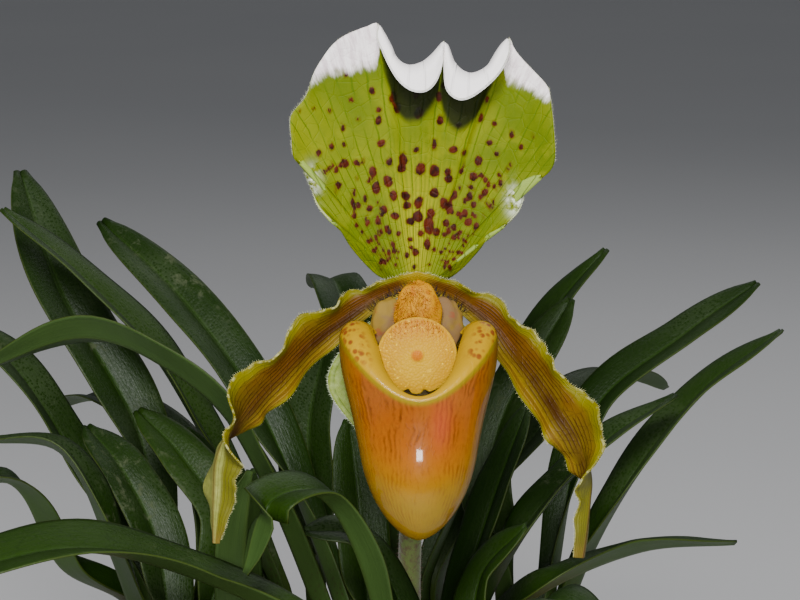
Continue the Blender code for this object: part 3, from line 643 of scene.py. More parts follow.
def sepal_surface():
    spots = sepal_spots()

    def fold_at(across):
        for low, high in zip(SEPAL_PEAKS, SEPAL_PEAKS[1:]):
            if low < across < high:
                return math.sin(math.pi * (across - low) / (high - low)) ** 0.6
        return 0.0

    def place(across, along):
        edge = along_evenly(SEPAL_RIM, across)
        hem = along_evenly(SEPAL_HEM, across)
        q = 2.0 * across - 1.0
        foot = Vector((3.6 * q, 15.2 + 0.5 * q * q, 0.0))
        straight = min(1.0, along / SEPAL_FOLD_START)
        spot = foot.lerp(edge, straight**0.92)
        fold = fold_at(across)
        first, last = SEPAL_PEAKS[0], SEPAL_PEAKS[2]
        top = smooth_step(first - 0.09, first, across) * (1.0 - smooth_step(last, last + 0.09, across))
        beyond = max(0.0, (along - SEPAL_FOLD_START) / (1.0 - SEPAL_FOLD_START))
        turn = math.pi * min(1.0, beyond / 0.45)
        forward = SEPAL_ROLL * fold * (1.0 - math.cos(turn) + 0.3 * beyond)
        up = 0.35 * SEPAL_ROLL * fold * math.sin(turn)
        flat = spot + (hem - edge) * smooth_step(0.06, 0.94, beyond) + Vector((0.0, up, 0.0))
        flat += (edge - foot).normalized() * (0.5 * beyond * (1.0 - top))
        lift = straight * (0.2 + 0.8 * smooth_step(15.6, 30.0, edge.y))
        hood = -11.8 + 4.0 * lift + 4.5 * lift * lift
        side_wave = 0.8 * math.sin(across * 42.0) * (1.0 - top) * straight**4
        reflex = -2.6 * q * q * straight * (1.0 - 0.4 * top)
        low_corner = bell(edge.y, 34.5 if edge.x < 0 else 31.0, 5.0)
        reflex -= 3.0 * low_corner * straight**6
        crinkle = 0.16 * math.sin(across * 420.0) * (1.0 - fold) * top * straight**8
        point = flower_point(flat.x, flat.y, hood + side_wave + reflex + crinkle + forward)
        near = [
            radius - math.hypot(spot.x - u, (spot.y - v) * squash)
            for u, v, radius, squash in spots if abs(spot.y - v) < SEPAL_SPOT_REACH
        ]
        if spot.x < 6.0:
            limit = 60.6 + 0.16 * (spot.x + 13.0) - 0.3 * max(0.0, -18.5 - spot.x)
        else:
            limit = 58.3 - 0.5 * max(0.0, spot.x - 20.0)
        limit += 11.0 * smooth_step(-8.6, -6.6, spot.x) * (1.0 - smooth_step(17.6, 19.0, spot.x))
        shade = 0.0
        if fold > 0.0 and beyond == 0.0:
            shade = fold**0.4 * (1.0 - smooth_step(8.0, 13.5, edge.y - spot.y))
        notes = {
            "vein": spot.x / max(2.0, spot.y - FAN_CENTRE) / FAN_SPREAD,
            "height": spot.y,
            "rim": along,
            "spot": max(near) if near and beyond == 0.0 else -3.0,
            "white": spot.y - limit + 26.0 * top * min(1.0, beyond * 8.0),
            "shade": shade,
            "fold": fold * beyond,
            # painted sheen: pale patches on the reflexed side margins that stand in for light caught there
            "painted_sheen": bell(math.hypot(spot.x + 22.4, (spot.y - 36.5) * 0.55), 0.0, 1.5)
            + bell(math.hypot(spot.x - 21.0, (spot.y - 32.5) * 0.6), 0.0, 1.6),
            "thick": 1.0 - 0.4 * smooth_step(0.75, 1.0, along),
        }
        return point, notes

    return place


def sepal_face():
    """Yellow-green with dark fan veins, maroon spots and a white top that frays into the green."""
    finish = Finish("sepal_green_and_white", {"Specular IOR Level": 0.09})
    vein, height, spot = finish.notes("vein", "height", "spot")
    rim, white, painted_sheen, shade, fold = finish.notes("rim", "white", "painted_sheen", "shade", "fold")
    wander = finish.grain(90.0, 2.0)
    fine_wander = finish.grain(300.0, 2.0)
    wavy = vein * 11.5 + (wander - 0.5) * 0.9 + (fine_wander - 0.5) * 0.16
    lines = finish.lines(wavy, 0.1, 0.0) * finish.patches(0.3, 0.55, 140.0, 2.0)
    net = finish.between(finish.cells(300.0, "DISTANCE_TO_EDGE"), 0.07, 0.0)
    fleck = finish.grain(800.0)
    clouds = finish.grain(70.0)
    finish.start(finish.between(clouds, 0.3, 0.7), (0.066, 0.1, 0.0), (0.135, 0.16, 0.0005))
    middle = finish.between(abs(vein), 0.5, 0.0)
    stripes = finish.lines(vein * 23.0 + wander * 1.5, 0.1, 0.4)
    light = middle * finish.between(height, 52.0, 22.0) * (0.4 + stripes * 0.55)
    finish.paint(light, (0.29, 0.265, 0.001))
    blotch = finish.patches(0.5, 0.66, 210.0) * finish.between(height, 60.0, 40.0)
    finish.paint(blotch * 0.35, (0.19, 0.2, 0.001))
    finish.paint(lines * 0.8, (0.035, 0.085, 0.0005))
    finish.paint(net * 0.07, (0.055, 0.1, 0.0005))
    finish.paint(fleck * 0.2, (0.16, 0.185, 0.001))
    ragged = spot + (finish.grain(420.0, 4.0) - 0.5) * 1.5
    dapple = finish.patches(0.3, 0.7, 700.0, 2.0)
    maroon = finish.mix(dapple, (0.016, 0.002, 0.0005), (0.07, 0.009, 0.001))
    finish.paint(finish.between(ragged, -0.5, 0.05) * 0.6, (0.07, 0.05, 0.0005))
    finish.paint(finish.between(ragged, -0.1, 0.1), maroon)
    shadow = finish.between(shade + (finish.grain(180.0) - 0.5) * 0.5, 0.15, 0.85)
    finish.paint(shadow * 0.93, (0.003, 0.005, 0.0005))
    streak = finish.grain(1.0, 4.0, 0.7, place=finish.place(vein * 30.0, height * 0.16))
    frayed = white + (streak - 0.5) * 3.2 + (finish.grain(260.0) - 0.5) * 3.0
    pale = finish.mix(finish.between(streak, 0.3, 0.65), (0.56, 0.47, 0.49), (0.84, 0.79, 0.78))
    pale = finish.mix(fold, pale, (0.95, 0.93, 0.92))
    finish.paint(finish.between(frayed, -1.5, 1.3), pale)
    edge = finish.between(rim, 0.965, 1.0) * (1.0 - fold)
    finish.paint(edge * 0.4, (0.6, 0.62, 0.35))
    # A painted sheen on the reflexed side margins, standing in for light caught by them and their hairs.
    down_and_painted_sheen = painted_sheen * finish.patches(0.35, 0.6, 520.0, 4.0)
    finish.paint(down_and_painted_sheen.or_less(0.9), (0.85, 0.9, 0.75))
    roughness = 0.5 + fleck * 0.2 - finish.between(spot, -0.2, 0.3) * 0.08
    height = fleck * 0.35 - lines * 0.5 - net * 0.3 + finish.between(spot, -0.3, 0.5) * 0.6
    return finish.done(roughness, height, 0.2, 0.8)


def sepal_back():
    """The back: paler green with veins in relief, and the same white top."""
    finish = Finish("sepal_back", {"Specular IOR Level": 0.3})
    vein, height, white, spot = finish.notes("vein", "height", "white", "spot")
    lines = finish.lines(vein * 11.5, 0.09, 0.0)
    clouds = finish.grain(80.0)
    finish.start(clouds, (0.14, 0.21, 0.02), (0.25, 0.33, 0.05))
    finish.paint(lines * 0.6, (0.09, 0.16, 0.015))
    finish.paint(finish.between(spot, -0.4, 0.4) * 0.35, (0.16, 0.08, 0.02))
    streak = finish.grain(1.0, 4.0, 0.7, place=finish.place(vein * 60.0, height * 0.35))
    finish.paint(finish.between(white + (streak - 0.5) * 6.0, -1.6, 1.4), (0.85, 0.81, 0.8))
    return finish.done(0.5 + clouds * 0.2, lines + clouds * 0.3, 0.2, 0.8)


def make_dorsal_sepal():
    surface = sepal_surface()
    looks = [sepal_face(), sepal_back()]
    piece = sheet("dorsal_sepal_blade", SEPAL_COLUMNS, SEPAL_ROWS, surface, SEPAL_THICKNESS, looks)
    stand_for(piece, "dorsal_sepal", "dorsal_sepal")
    hairs = Hairs(SEPAL_HAIR_SEED)
    for index in range(SEPAL_HAIRS):
        column = (index + 0.5) / SEPAL_HAIRS
        edge, notes = surface(column, 1.0)
        inner = surface(column, 0.93)[0]
        if notes["height"] < SEPAL_HAIRS_END:
            length = SEPAL_TOP_HAIR if notes["height"] > SEPAL_SHORT_HAIRS_START else SEPAL_SIDE_HAIR
            hairs.add(edge, edge - inner, length, FRINGE_RADIUS, 0.25)
    hairs.done("sepal_hairs", "dorsal_sepal", "hair_pale_green", (0.42, 0.46, 0.22), (0.8, 0.8, 0.62))


# Each petal's mid-line as (right, up, forward), half its width, and how many degrees it is rolled away from
# facing the viewer.
PETAL_LEFT = [
    ((0.7, 15.9, -5.6), 1.9, 0), ((-3.8, 14.5, -7.0), 2.1, 2), ((-9.0, 12.3, -8.8), 2.7, 8),
    ((-15.1, 8.6, -8.6), 3.8, 22), ((-22.5, 3.4, -5.0), 5.2, 34), ((-29.0, -3.4, -1.0), 5.8, 40),
    ((-34.8, -9.6, 2.0), 6.2, 44), ((-38.2, -15.4, 2.5), 5.2, 78), ((-41.0, -21.4, 1.5), 5.4, 122),
    ((-42.0, -28.4, 0.0), 4.8, 138), ((-42.3, -34.6, -1.0), 3.0, 128), ((-42.4, -39.6, -1.5), 0.8, 120),
]
PETAL_RIGHT = [
    ((-0.7, 15.9, -5.6), 1.9, 0), ((3.8, 14.5, -7.0), 2.1, -2), ((9.5, 12.0, -8.8), 2.8, -8),
    ((16.2, 7.4, -8.6), 4.1, -20), ((21.6, 0.8, -6.0), 5.3, -28), ((26.4, -5.4, -2.0), 6.0, -30),
    ((30.6, -12.0, 2.0), 6.2, -28), ((33.8, -18.0, 2.5), 5.9, -38), ((35.2, -24.4, 2.0), 4.4, -76),
    ((35.4, -30.0, 0.5), 2.7, -116), ((35.2, -36.4, -0.5), 2.3, -128), ((34.4, -42.6, -1.0), 1.9, -130),
]
PETAL_COLUMNS = 28
PETAL_ROWS = 170
PETAL_WAVES = 7.0
PETAL_SCALLOPS = 9.0
PETAL_NICKS = 23.0
PETAL_HAIRS = 260
PETAL_FOOT_HAIRS = 190
PETAL_HAIR_SEED = 41
PETAL_FOOT_HAIR_SEED = 43


def petal_surface(stations, upper, notch, bulge):
    """Where the points of a petal lie. Upper is -1 or 1, the side of its grid that is uppermost at its foot,
    and notch and bulge are where along it the upper margin draws in and stands out most."""
    points = [Vector(place) for place, half, roll in stations]
    halves = [half for place, half, roll in stations]
    rolls = [roll for place, half, roll in stations]
    forward = Vector((0.0, 0.0, 1.0))

    def middle_curve(t):
        return along_evenly(points, t)

    def place(across, along):
        t = along
        tangent = direction_along(middle_curve, t)
        sideways = tangent.cross(forward).normalized()
        face = sideways.cross(tangent)
        sideways, face = rolled(sideways, face, along_values(rolls, t))
        q = 2.0 * across - 1.0
        round_trip = 2.0 * math.pi * t
        above = smooth_step(0.0, 1.0, q * upper)
        steady = smooth_step(0.08, 0.2, t) * (1.0 - smooth_step(0.75, 0.95, t))
        waves = math.sin(PETAL_WAVES * round_trip + (0.9 if q > 0 else 0.0))
        ruffle = (0.9 + 0.5 * above) * waves * abs(q) ** 2.5
        crimp = 0.25 * math.sin(61.0 * t + 3.0 * q) * abs(q) ** 4
        groove = (0.9 + 1.5 * bell(t, 0.76, 0.12)) * (abs(q) - 0.4)
        half = along_values(halves, t)
        scallop = 0.1 * math.sin(PETAL_SCALLOPS * round_trip) + 0.04 * math.sin(PETAL_NICKS * round_trip)
        half *= 1.0 + above * steady * (scallop - 0.26 * bell(t, notch, 0.03) + 0.36 * bell(t, bulge, 0.055))
        spot = middle_curve(t) + sideways * (half * q) + face * ((ruffle + crimp) * steady + groove)
        notes = {
            "across": q * upper,
            "along": t,
            "thick": 1.0 - 0.45 * smooth_step(0.6, 1.0, abs(q)),
        }
        return flower_point(*spot), notes

    return place


def petal_face():
    """Ochre with a red flush, brown veins, a dark band below the middle and yellow-green margins."""
    finish = Finish("petal_ochre", {"Specular IOR Level": 0.13})
    q, t = finish.notes("across", "along")
    wander = finish.grain(120.0)
    soft = finish.grain(60.0)
    ochre = finish.mix(finish.grain(90.0), (0.066, 0.043, 0.0), (0.16, 0.105, 0.0005))
    flush = finish.between(abs(q - 0.15), 0.8, 0.2) * finish.between(t, 0.8, 0.35)
    flush = flush * finish.between(soft, 0.25, 0.55)
    finish.start(flush * 0.85, ochre, (0.095, 0.028, 0.002))
    veins = finish.lines(q * 6.5 + (wander - 0.5) * 0.7, 0.26, 0.02)
    veins = veins * finish.patches(0.25, 0.5, 200.0, 2.0)
    in_middle = finish.between(abs(q + 0.1), 0.85, 0.3)
    finish.paint(veins * in_middle * 0.8, (0.035, 0.01, 0.002))
    net = finish.between(finish.cells(420.0, "DISTANCE_TO_EDGE"), 0.09, 0.0)
    finish.paint(net * 0.3, (0.05, 0.022, 0.001))
    band = finish.between(abs(q + 0.24 + (wander - 0.5) * 0.3), 0.36, 0.05) * finish.between(t, 0.06, 0.3)
    broken = 0.45 + 0.45 * finish.patches(0.35, 0.6, 110.0, 4.0)
    finish.paint(band * broken, (0.03, 0.0085, 0.0005))
    strip = finish.between(q, -0.55, -0.7)
    finish.paint(strip * 0.7, (0.17, 0.1, 0.003))
    thin_line = finish.between(abs(q + 0.76 + (wander - 0.5) * 0.1), 0.07, 0.01)
    finish.paint(thin_line * 0.5, (0.06, 0.02, 0.002))
    margin = finish.between(q + (wander - 0.5) * 0.3, 0.55, 0.85).or_more(finish.between(q, -0.88, -0.97))
    finish.paint(margin * 0.9, (0.13, 0.12, 0.002))
    # A painted reflection: the pale whitish lower margin near the foot stands in for light reflected off its
    # inner edge.
    pale = finish.between(q, -0.45, -0.95) * finish.between(t, 0.42, 0.12) * finish.between(t, 0.03, 0.08)
    finish.paint(pale * 0.85, (0.28, 0.22, 0.03))
    golden = finish.between(t, 0.1, 0.03)
    finish.paint(golden * 0.7, (0.3, 0.2, 0.001))
    fine = finish.grain(800.0)
    glint = finish.between(q, 0.9, 1.0) * finish.between(fine, 0.45, 0.7)
    finish.paint(glint * 0.55, (0.5, 0.5, 0.25))
    return finish.done(0.36 + fine * 0.22, fine * 0.4 + veins * 0.5 + net * 0.3, 0.16, 0.8)


def petal_back(name, down_and_sheen_from):
    """The back, seen where a petal twists: yellow-green, brown in the middle, and silvery below the given
    share across, from its down and partly a painted highlight on the half that faces the light.
    """
    finish = Finish(name, {"Specular IOR Level": 0.25})
    q, t = finish.notes("across", "along")
    wander = finish.grain(120.0)
    fuzz = finish.grain(900.0)
    # Silvery from the down, and partly a painted highlight standing in for the light on the half that faces
    # it.
    down_and_painted_sheen = finish.mix(fuzz, (0.12, 0.14, 0.012), (0.3, 0.31, 0.08))
    yellow = finish.mix(wander, (0.06, 0.062, 0.001), (0.13, 0.12, 0.002))
    below = finish.between(q + (wander - 0.5) * 0.2, down_and_sheen_from + 0.12, down_and_sheen_from - 0.12)
    finish.start(below, yellow, down_and_painted_sheen)
    finish.paint(finish.between(abs(q - 0.02), 0.14, 0.0) * 0.6, (0.07, 0.03, 0.003))
    streaks = finish.lines(q * 6.0 + wander * 0.5, 0.15, 0.0)
    finish.paint(streaks * 0.4, (0.07, 0.05, 0.003))
    tip = finish.between(t, 0.9, 1.0)
    finish.paint(tip * 0.5 * wander, (0.2, 0.07, 0.02))
    return finish.done(0.45 + fuzz * 0.2, fuzz * 0.6 + streaks * 0.4, 0.2, 0.8)


def make_petals():
    face = petal_face()
    pale, dark = Hairs(PETAL_HAIR_SEED), Hairs(PETAL_FOOT_HAIR_SEED)
    for name, stations, upper, notch, bulge, down_and_sheen_from in (
        ("petal_left", PETAL_LEFT, 1, 0.455, 0.56, 0.35),
        ("petal_right", PETAL_RIGHT, -1, 0.48, 0.61, -1.3),
    ):
        back = petal_back(name + "_back", down_and_sheen_from)
        surface = petal_surface(stations, upper, notch, bulge)
        blade = sheet(name + "_blade", PETAL_COLUMNS, PETAL_ROWS, surface, PETAL_THICKNESS, [face, back])
        stand_for(blade, "petal", name)
        top, bottom = (1.0, 0.0) if upper > 0 else (0.0, 1.0)
        pale.fringe(surface, PETAL_HAIRS, (top, bottom), 0.04, 0.8, 0.3)
        for index in range(PETAL_FOOT_HAIRS):
            t = 0.04 + 0.17 * pale.draw.random()
            low = pale.draw.uniform(0.75, 1.0)
            across = 0.5 + (bottom - 0.5) * low
            root = surface(across, t)[0]
            down = surface(bottom, t)[0] - surface(0.5, t)[0]
            dark.add(root, Vector((0.0, -0.9, 0.0)) - down.normalized(), 2.9, 0.085, 0.3)
    pale.done("petal_hairs", "petal", "hair_pale_yellow", (0.42, 0.4, 0.12), (0.75, 0.72, 0.45))
    dark.done("petal_foot_hairs", "petal", "hair_dark", (0.006, 0.002, 0.003), (0.03, 0.006, 0.006))


# Synsepal, the joined pair of lower sepals behind the pouch
SYNSEPAL_COLUMNS = 40
SYNSEPAL_ROWS = 60
SYNSEPAL_HAIRS = 240
SYNSEPAL_HAIR_SEED = 51


def synsepal_surface(across, along):
    q = 2.0 * across - 1.0
    half = 3.0 + 11.8 * math.sin(math.pi * (0.02 + 0.98 * along**0.57)) ** 0.9
    half *= math.sqrt(max(0.02, 1.0 - along**5))
    u = -4.4 * bell(along, 0.36, 0.2) + q * half
    v = 8.5 - 42.4 * along
    w = -9.9 - 1.4 * math.sin(math.pi * along) + 3.2 * q * q * along
    notes = {"across": q, "along": along, "thick": 1.0 - 0.45 * smooth_step(0.7, 1.0, abs(q))}
    return flower_point(u, v, w), notes


def synsepal_finish():
    """Pale green, downy, with darker veins and a silvery margin."""
    finish = Finish("synsepal_pale_green", {"Specular IOR Level": 0.3})
    [q] = finish.notes("across")
    wander = finish.grain(90.0, 2.0)
    fuzz = finish.grain(850.0)
    veins = finish.lines(q * 6.0 + (wander - 0.5) * 0.3, 0.14, 0.0)
    finish.start(finish.grain(110.0), (0.085, 0.13, 0.004), (0.15, 0.2, 0.012))
    finish.paint(veins * 0.6, (0.045, 0.08, 0.002))
    finish.paint(finish.between(abs(q), 0.45, 1.0) * finish.between(fuzz, 0.3, 0.8), (0.2, 0.25, 0.07))
    return finish.done(0.5 + fuzz * 0.2, veins * 0.5 + fuzz * 0.5, 0.2, 0.8)


def make_synsepal():
    looks = [synsepal_finish()]
    blade = sheet(
        "synsepal_blade", SYNSEPAL_COLUMNS, SYNSEPAL_ROWS, synsepal_surface, SEPAL_THICKNESS, looks
    )
    stand_for(blade, "synsepal", "synsepal")
    hairs = Hairs(SYNSEPAL_HAIR_SEED)
    hairs.fringe(synsepal_surface, SYNSEPAL_HAIRS, (0.0, 1.0), 0.03, 0.9, 0.35)
    hairs.done("synsepal_hairs", "synsepal", "hair_silver_green", (0.4, 0.48, 0.25), (0.75, 0.8, 0.6))


# The pouch
POUCH_COLUMNS = 168
POUCH_ROWS = 90
POUCH_TOE = -38.4
POUCH_FRONT = -9.3
POUCH_FLAP_START = 0.72
POUCH_LIP_RADIUS = 2.0


def pouch_half_width(v):
    """Half the pouch's width at height v: a pointed toe that opens into a slightly flared mouth."""
    height = v - POUCH_TOE
    toe = (1.0 - max(0.0, 1.0 - height / 24.0) ** 2) ** 0.6
    return 12.8 * toe + 3.8 * smooth_step(18.0, 40.0, height)


def pouch_surface(across, along):
    turn = 2.0 * math.pi * across
    front, side = math.cos(turn), math.sin(turn)
    from_front = math.degrees(min(turn, 2.0 * math.pi - turn))
    lobe = smooth_step(0.0, 66.0, from_front) * (1.0 - smooth_step(112.0, 150.0, from_front))
    crest = POUCH_FRONT + 12.9 * smooth_step(0.0, 88.0, from_front) ** 1.1
    crest -= 2.4 * smooth_step(100.0, 150.0, from_front)
    climb = min(1.0, along / POUCH_FLAP_START)
    v = POUCH_TOE + (crest - POUCH_TOE) * climb**1.35
    half = pouch_half_width(v)
    depth = half * (0.86 if front > 0 else 0.62)
    middle = 5.0 - 3.6 * smooth_step(0.0, 30.0, v - POUCH_TOE)
    beyond = max(0.0, (along - POUCH_FLAP_START) / (1.0 - POUCH_FLAP_START))
    radius = POUCH_LIP_RADIUS * (0.62 + 1.2 * lobe)
    roll = math.radians(72.0 + 66.0 * lobe)
    up, inward = curl((radius * roll + 1.2 * lobe) * beyond, roll, radius)
    u = 0.3 + (half - inward) * side
    w = middle + (depth - inward * 0.85) * front
    notes = {"side": side, "front": front, "height": v, "beyond": beyond, "lobe": lobe, "climb": climb}
    return flower_point(u, v + up, w), notes


def pouch_outside():
    """Glossy orange-red with a fine net of darker veins, yellow at the toe, the sides and the rim."""
    finish = Finish("pouch_orange", {"Specular IOR Level": 0.08, "Coat Roughness": 0.06})
    side, front, height = finish.notes("side", "front", "height")
    beyond, lobe, climb = finish.notes("beyond", "lobe", "climb")
    turn = side.maths("ARCTAN2", side, front)
    wander = finish.grain(70.0)
    small_wander = finish.grain(300.0)
    wavy = turn * 11.0 + (wander - 0.5) * 4.0 + (small_wander - 0.5) * 1.8
    veins = finish.lines(wavy, 0.42, 0.03) * finish.patches(0.4, 0.6, 190.0)
    branches = finish.grain(1.0, 3.0, 0.6, place=finish.place(turn * 16.0 + wander * 3.0, height * 0.45))
    net = finish.between(branches, 0.5, 0.7)
    clouds = finish.grain(70.0)
    flush = finish.between(front, 0.1, 0.85) * finish.between(climb + (clouds - 0.5) * 0.25, 0.42, 0.85)
    ochre = finish.mix(clouds, (0.13, 0.08, 0.0), (0.2, 0.125, 0.0))
    red = finish.mix(clouds, (0.16, 0.03, 0.002), (0.28, 0.06, 0.004))
    orange = finish.mix(clouds, (0.2, 0.06, 0.0005), (0.32, 0.105, 0.001))
    finish.start(finish.between(climb, 0.3, 0.75), ochre, orange)
    finish.paint(flush * 0.85, red)
    olive = finish.mix(clouds, (0.13, 0.07, 0.0005), (0.22, 0.12, 0.001))
    finish.paint(finish.between(abs(turn), 0.75, 1.45) * 0.8, olive)
    netted = (veins * 0.7 + net * 0.4).or_less(1.0) * (0.45 + flush * 0.5)
    finish.paint(netted, (0.085, 0.014, 0.001))
    fine = finish.grain(650.0)
    finish.paint(fine * 0.18, (0.34, 0.15, 0.001))
    rosy = finish.between(abs(turn - 0.35), 0.3, 0.0) * finish.between(abs(height + 14.0), 9.0, 0.0)
    finish.paint(rosy * 0.5, (0.36, 0.05, 0.02))
    rim = finish.between(climb, 0.965, 1.0)
    finish.paint(rim * 0.9, (0.2, 0.15, 0.002))
    flap = finish.between(beyond, 0.02, 0.12)
    yellow = finish.mix(clouds, (0.28, 0.15, 0.001), (0.42, 0.25, 0.003))
    finish.paint(flap, yellow)
    speckle = finish.between(finish.cells(700.0), 0.6, 0.3)
    patch = finish.between(abs(beyond - 0.32), 0.4, 0.12) * finish.between(lobe, 0.6, 0.9)
    patch = patch * finish.patches(0.34, 0.5, 260.0)
    finish.paint(speckle * patch * 0.9, (0.16, 0.03, 0.008))
    finish.feed("Coat Weight", 0.42 - rim * 0.34 - finish.between(abs(turn), 0.8, 1.4) * 0.06)
    return finish.done(0.28 + fine * 0.12, fine * 0.3 + veins * 0.4 + net * 0.3, 0.1, 0.6)


def pouch_inside():
    """Inside: duller yellow-green, specked with red-brown and darker towards the toe."""
    finish = Finish("pouch_inside", {"Specular IOR Level": 0.4, "Coat Weight": 0.2, "Coat Roughness": 0.2})
    [height] = finish.notes("height")
    clouds = finish.grain(80.0)
    finish.start(clouds, (0.16, 0.1, 0.002), (0.3, 0.2, 0.005))
    dots = finish.between(finish.cells(430.0), 0.4, 0.28)
    finish.paint(dots * 0.6 + finish.between(height, -5.0, -35.0) * 0.3, (0.15, 0.04, 0.008))
    return finish.done(0.35 + clouds * 0.2, clouds, 0.2, 0.5)


def make_pouch():
    looks = [pouch_outside(), pouch_inside()]
    pouch = sheet(
        "pouch_shell", POUCH_COLUMNS, POUCH_ROWS, pouch_surface, POUCH_THICKNESS, looks,
        joined=True, offset=-1.0,
    )
    stand_for(pouch, "pouch", "pouch")


# The staminode and its column
STAMINODE_HALF_WIDTH = 8.3
STAMINODE_HALF_HEIGHT = 8.0
STAMINODE_FORWARD = 5.4
COLUMN_PATH = [(0.0, 11.9, -9.2), (0.0, 11.9, -6.6), (0.0, 9.8, -3.0), (0.0, 6.0, -1.2), (0.0, 2.5, 2.2)]
COLUMN_RADII = [2.3, 2.4, 2.8, 2.8, 2.2]
COLUMN_SIDES = 32
CAP_MIDDLE = (0.2, 8.2, -0.2)
CAP_SIZE = (4.9, 7.4, 2.4)
CAP_HAIRS = 1300
WING_SIZE = (3.9, 5.6, 1.4)
SHIELD_HAIRS = 260
STAMINODE_HAIR_SEED = 61


def shield_point(x, y, z):
    """A point of the staminode's shield from one of a ball of radius 1."""
    radius = math.hypot(x, y)
    from_bottom = math.atan2(x, -y)
    notch = 0.1 * (bell(from_bottom, -0.25, 0.08) + bell(from_bottom, 0.2, 0.08)) * radius**6
    boss = 0.5 * bell(radius, 0.0, 0.13) if z > 0 else 0.0
    dome = 1.2 if z > 0 else 1.0
    u = STAMINODE_HALF_WIDTH * x * (1.0 - notch)
    v = STAMINODE_HALF_HEIGHT * y * (1.0 - notch)
    return flower_point(u, v, STAMINODE_FORWARD + dome * z + boss)


def staminode_gold():
    """Golden yellow and grainy, with an orange boss and an orange flush at the top."""
    finish = Finish("staminode_gold", {"Specular IOR Level": 0.1})
    x, y = finish.notes("x", "y")
    grain = finish.cells(1900.0)
    clouds = finish.grain(160.0)
    finish.start(clouds, (0.37, 0.185, 0.0), (0.48, 0.26, 0.0))
    finish.paint(finish.between(grain, 0.2, 0.55) * 0.3, (0.3, 0.12, 0.0))
    reach = (x * x + y * y) ** 0.5
    middle = finish.between((x * x + (y + 0.3) * (y + 0.3)) ** 0.5, 0.75, 0.2)
    finish.paint(middle * 0.5, (0.48, 0.29, 0.0))
    finish.paint(finish.between(reach, 0.19, 0.1) * 0.9, (0.38, 0.1, 0.0))
    veins = finish.lines(x * 7.0 + clouds, 0.2, 0.0) * finish.between(y, 0.2, 0.8)
    finish.paint(finish.between(y, 0.3, 0.95) * 0.5, (0.36, 0.11, 0.0))
    finish.paint(veins * 0.5, (0.26, 0.04, 0.0005))
    sparkle = finish.patches(0.62, 0.72, 1500.0, 2.0) * finish.between(reach, 0.3, 0.7)
    finish.paint(sparkle * 0.6, (0.85, 0.58, 0.02))
    finish.paint(finish.between(reach, 0.9, 1.0) * 0.35, (0.6, 0.4, 0.03))
    return finish.done(0.35 + clouds * 0.2, 1.0 - grain, 0.13, 0.8)


def make_staminode():
    bm = bmesh.new()
    bmesh.ops.create_uvsphere(bm, u_segments=168, v_segments=48, radius=1.0)
    layers = {note: bm.verts.layers.float.new(note) for note in ("x", "y")}
    for vert in bm.verts:
        x, y, z = vert.co
        vert[layers["x"]], vert[layers["y"]] = x, y
        vert.co = shield_point(x, y, z)
    shield = piece_from(bm, "staminode_shield", [staminode_gold()])
    stand_for(shield, "staminode", "staminode")
    path = [flower_point(*point) for point in COLUMN_PATH]
    tube("column", path, COLUMN_RADII, COLUMN_SIDES, column_cream())
    cap = swelling("column_cap", CAP_MIDDLE, CAP_SIZE, column_orange(), 3.0)
    cream = column_cream()
    for name, side in (("column_wing_left", -1), ("column_wing_right", 1)):
        wing = swelling(name, (side * 5.9, 6.4, -2.6), WING_SIZE, cream, 7.0 + side)
    hairs = Hairs(STAMINODE_HAIR_SEED)
    for index in range(CAP_HAIRS):
        angle = hairs.draw.uniform(0.0, 2.0 * math.pi)
        away = math.sqrt(hairs.draw.random())
        u, v = 4.8 * away * math.cos(angle), 8.4 + 7.0 * away * math.sin(angle)
        bulge = math.sqrt(max(0.0, 1.0 - away * away))
        root = flower_point(u * 0.95, v, -0.2 + 2.4 * bulge)
        direction = flower_point(u * 1.2, v - 5.0, 5.0 * bulge + 3.0) - flower_point(0.0, 8.0, 0.0)
        hairs.add(root, direction, 1.5, 0.065, 0.45)
    for index in range(SHIELD_HAIRS):
        u, v = hairs.draw.uniform(-5.5, 5.5), hairs.draw.uniform(3.4, 7.4)
        if (u / STAMINODE_HALF_WIDTH) ** 2 + (v / STAMINODE_HALF_HEIGHT) ** 2 < 0.92:
            root = flower_point(u, v, STAMINODE_FORWARD + 0.9)
            direction = flower_point(u * 0.2, 3.0, 2.2) - FLOWER_MIDDLE
            hairs.add(root, direction, 0.9, 0.05, 0.3)
    hairs.done("staminode_hairs", "staminode", "hair_orange", (0.3, 0.06, 0.0), (0.6, 0.26, 0.002))


def swelling(name, centre, size, finish, phase):
    """A soft lump on the column: a ball drawn out to size, uneven, about a place in the flower."""
    bm = bmesh.new()
    bmesh.ops.create_uvsphere(bm, u_segments=44, v_segments=26, radius=1.0)
    for vert in bm.verts:
        x, y, z = vert.co * (1.0 + 0.14 * noise.noise(vert.co * 2.2 + Vector((phase, 0.0, 0.0))))
        vert.co = flower_point(centre[0] + size[0] * x, centre[1] + size[1] * y, centre[2] + size[2] * z)
    return piece_from(bm, name, [finish])


def column_cream():
    """Cream with a lilac-grey cast and a few red flecks."""
    finish = Finish("column_cream", {"Specular IOR Level": 0.12})
    clouds = finish.grain(200.0)
    finish.start(clouds, (0.11, 0.065, 0.008), (0.24, 0.15, 0.02))
    finish.paint(finish.patches(0.45, 0.62, 150.0) * 0.6, (0.12, 0.06, 0.04))
    finish.paint(finish.patches(0.55, 0.68, 430.0) * 0.5, (0.2, 0.035, 0.012))
    return finish.done(0.5 + clouds * 0.2, clouds, 0.2, 0.6)


def column_orange():
    finish = Finish("column_orange", {"Specular IOR Level": 0.1})
    clouds = finish.grain(320.0, 4.0)
    finish.start(clouds, (0.28, 0.1, 0.0), (0.46, 0.23, 0.0))
    finish.paint(finish.patches(0.55, 0.7, 420.0) * 0.5, (0.24, 0.025, 0.001))
    return finish.done(0.45 + clouds * 0.2, clouds, 0.3, 0.8)


# Stem, ovary and bract
TUBE_CUTS = 12


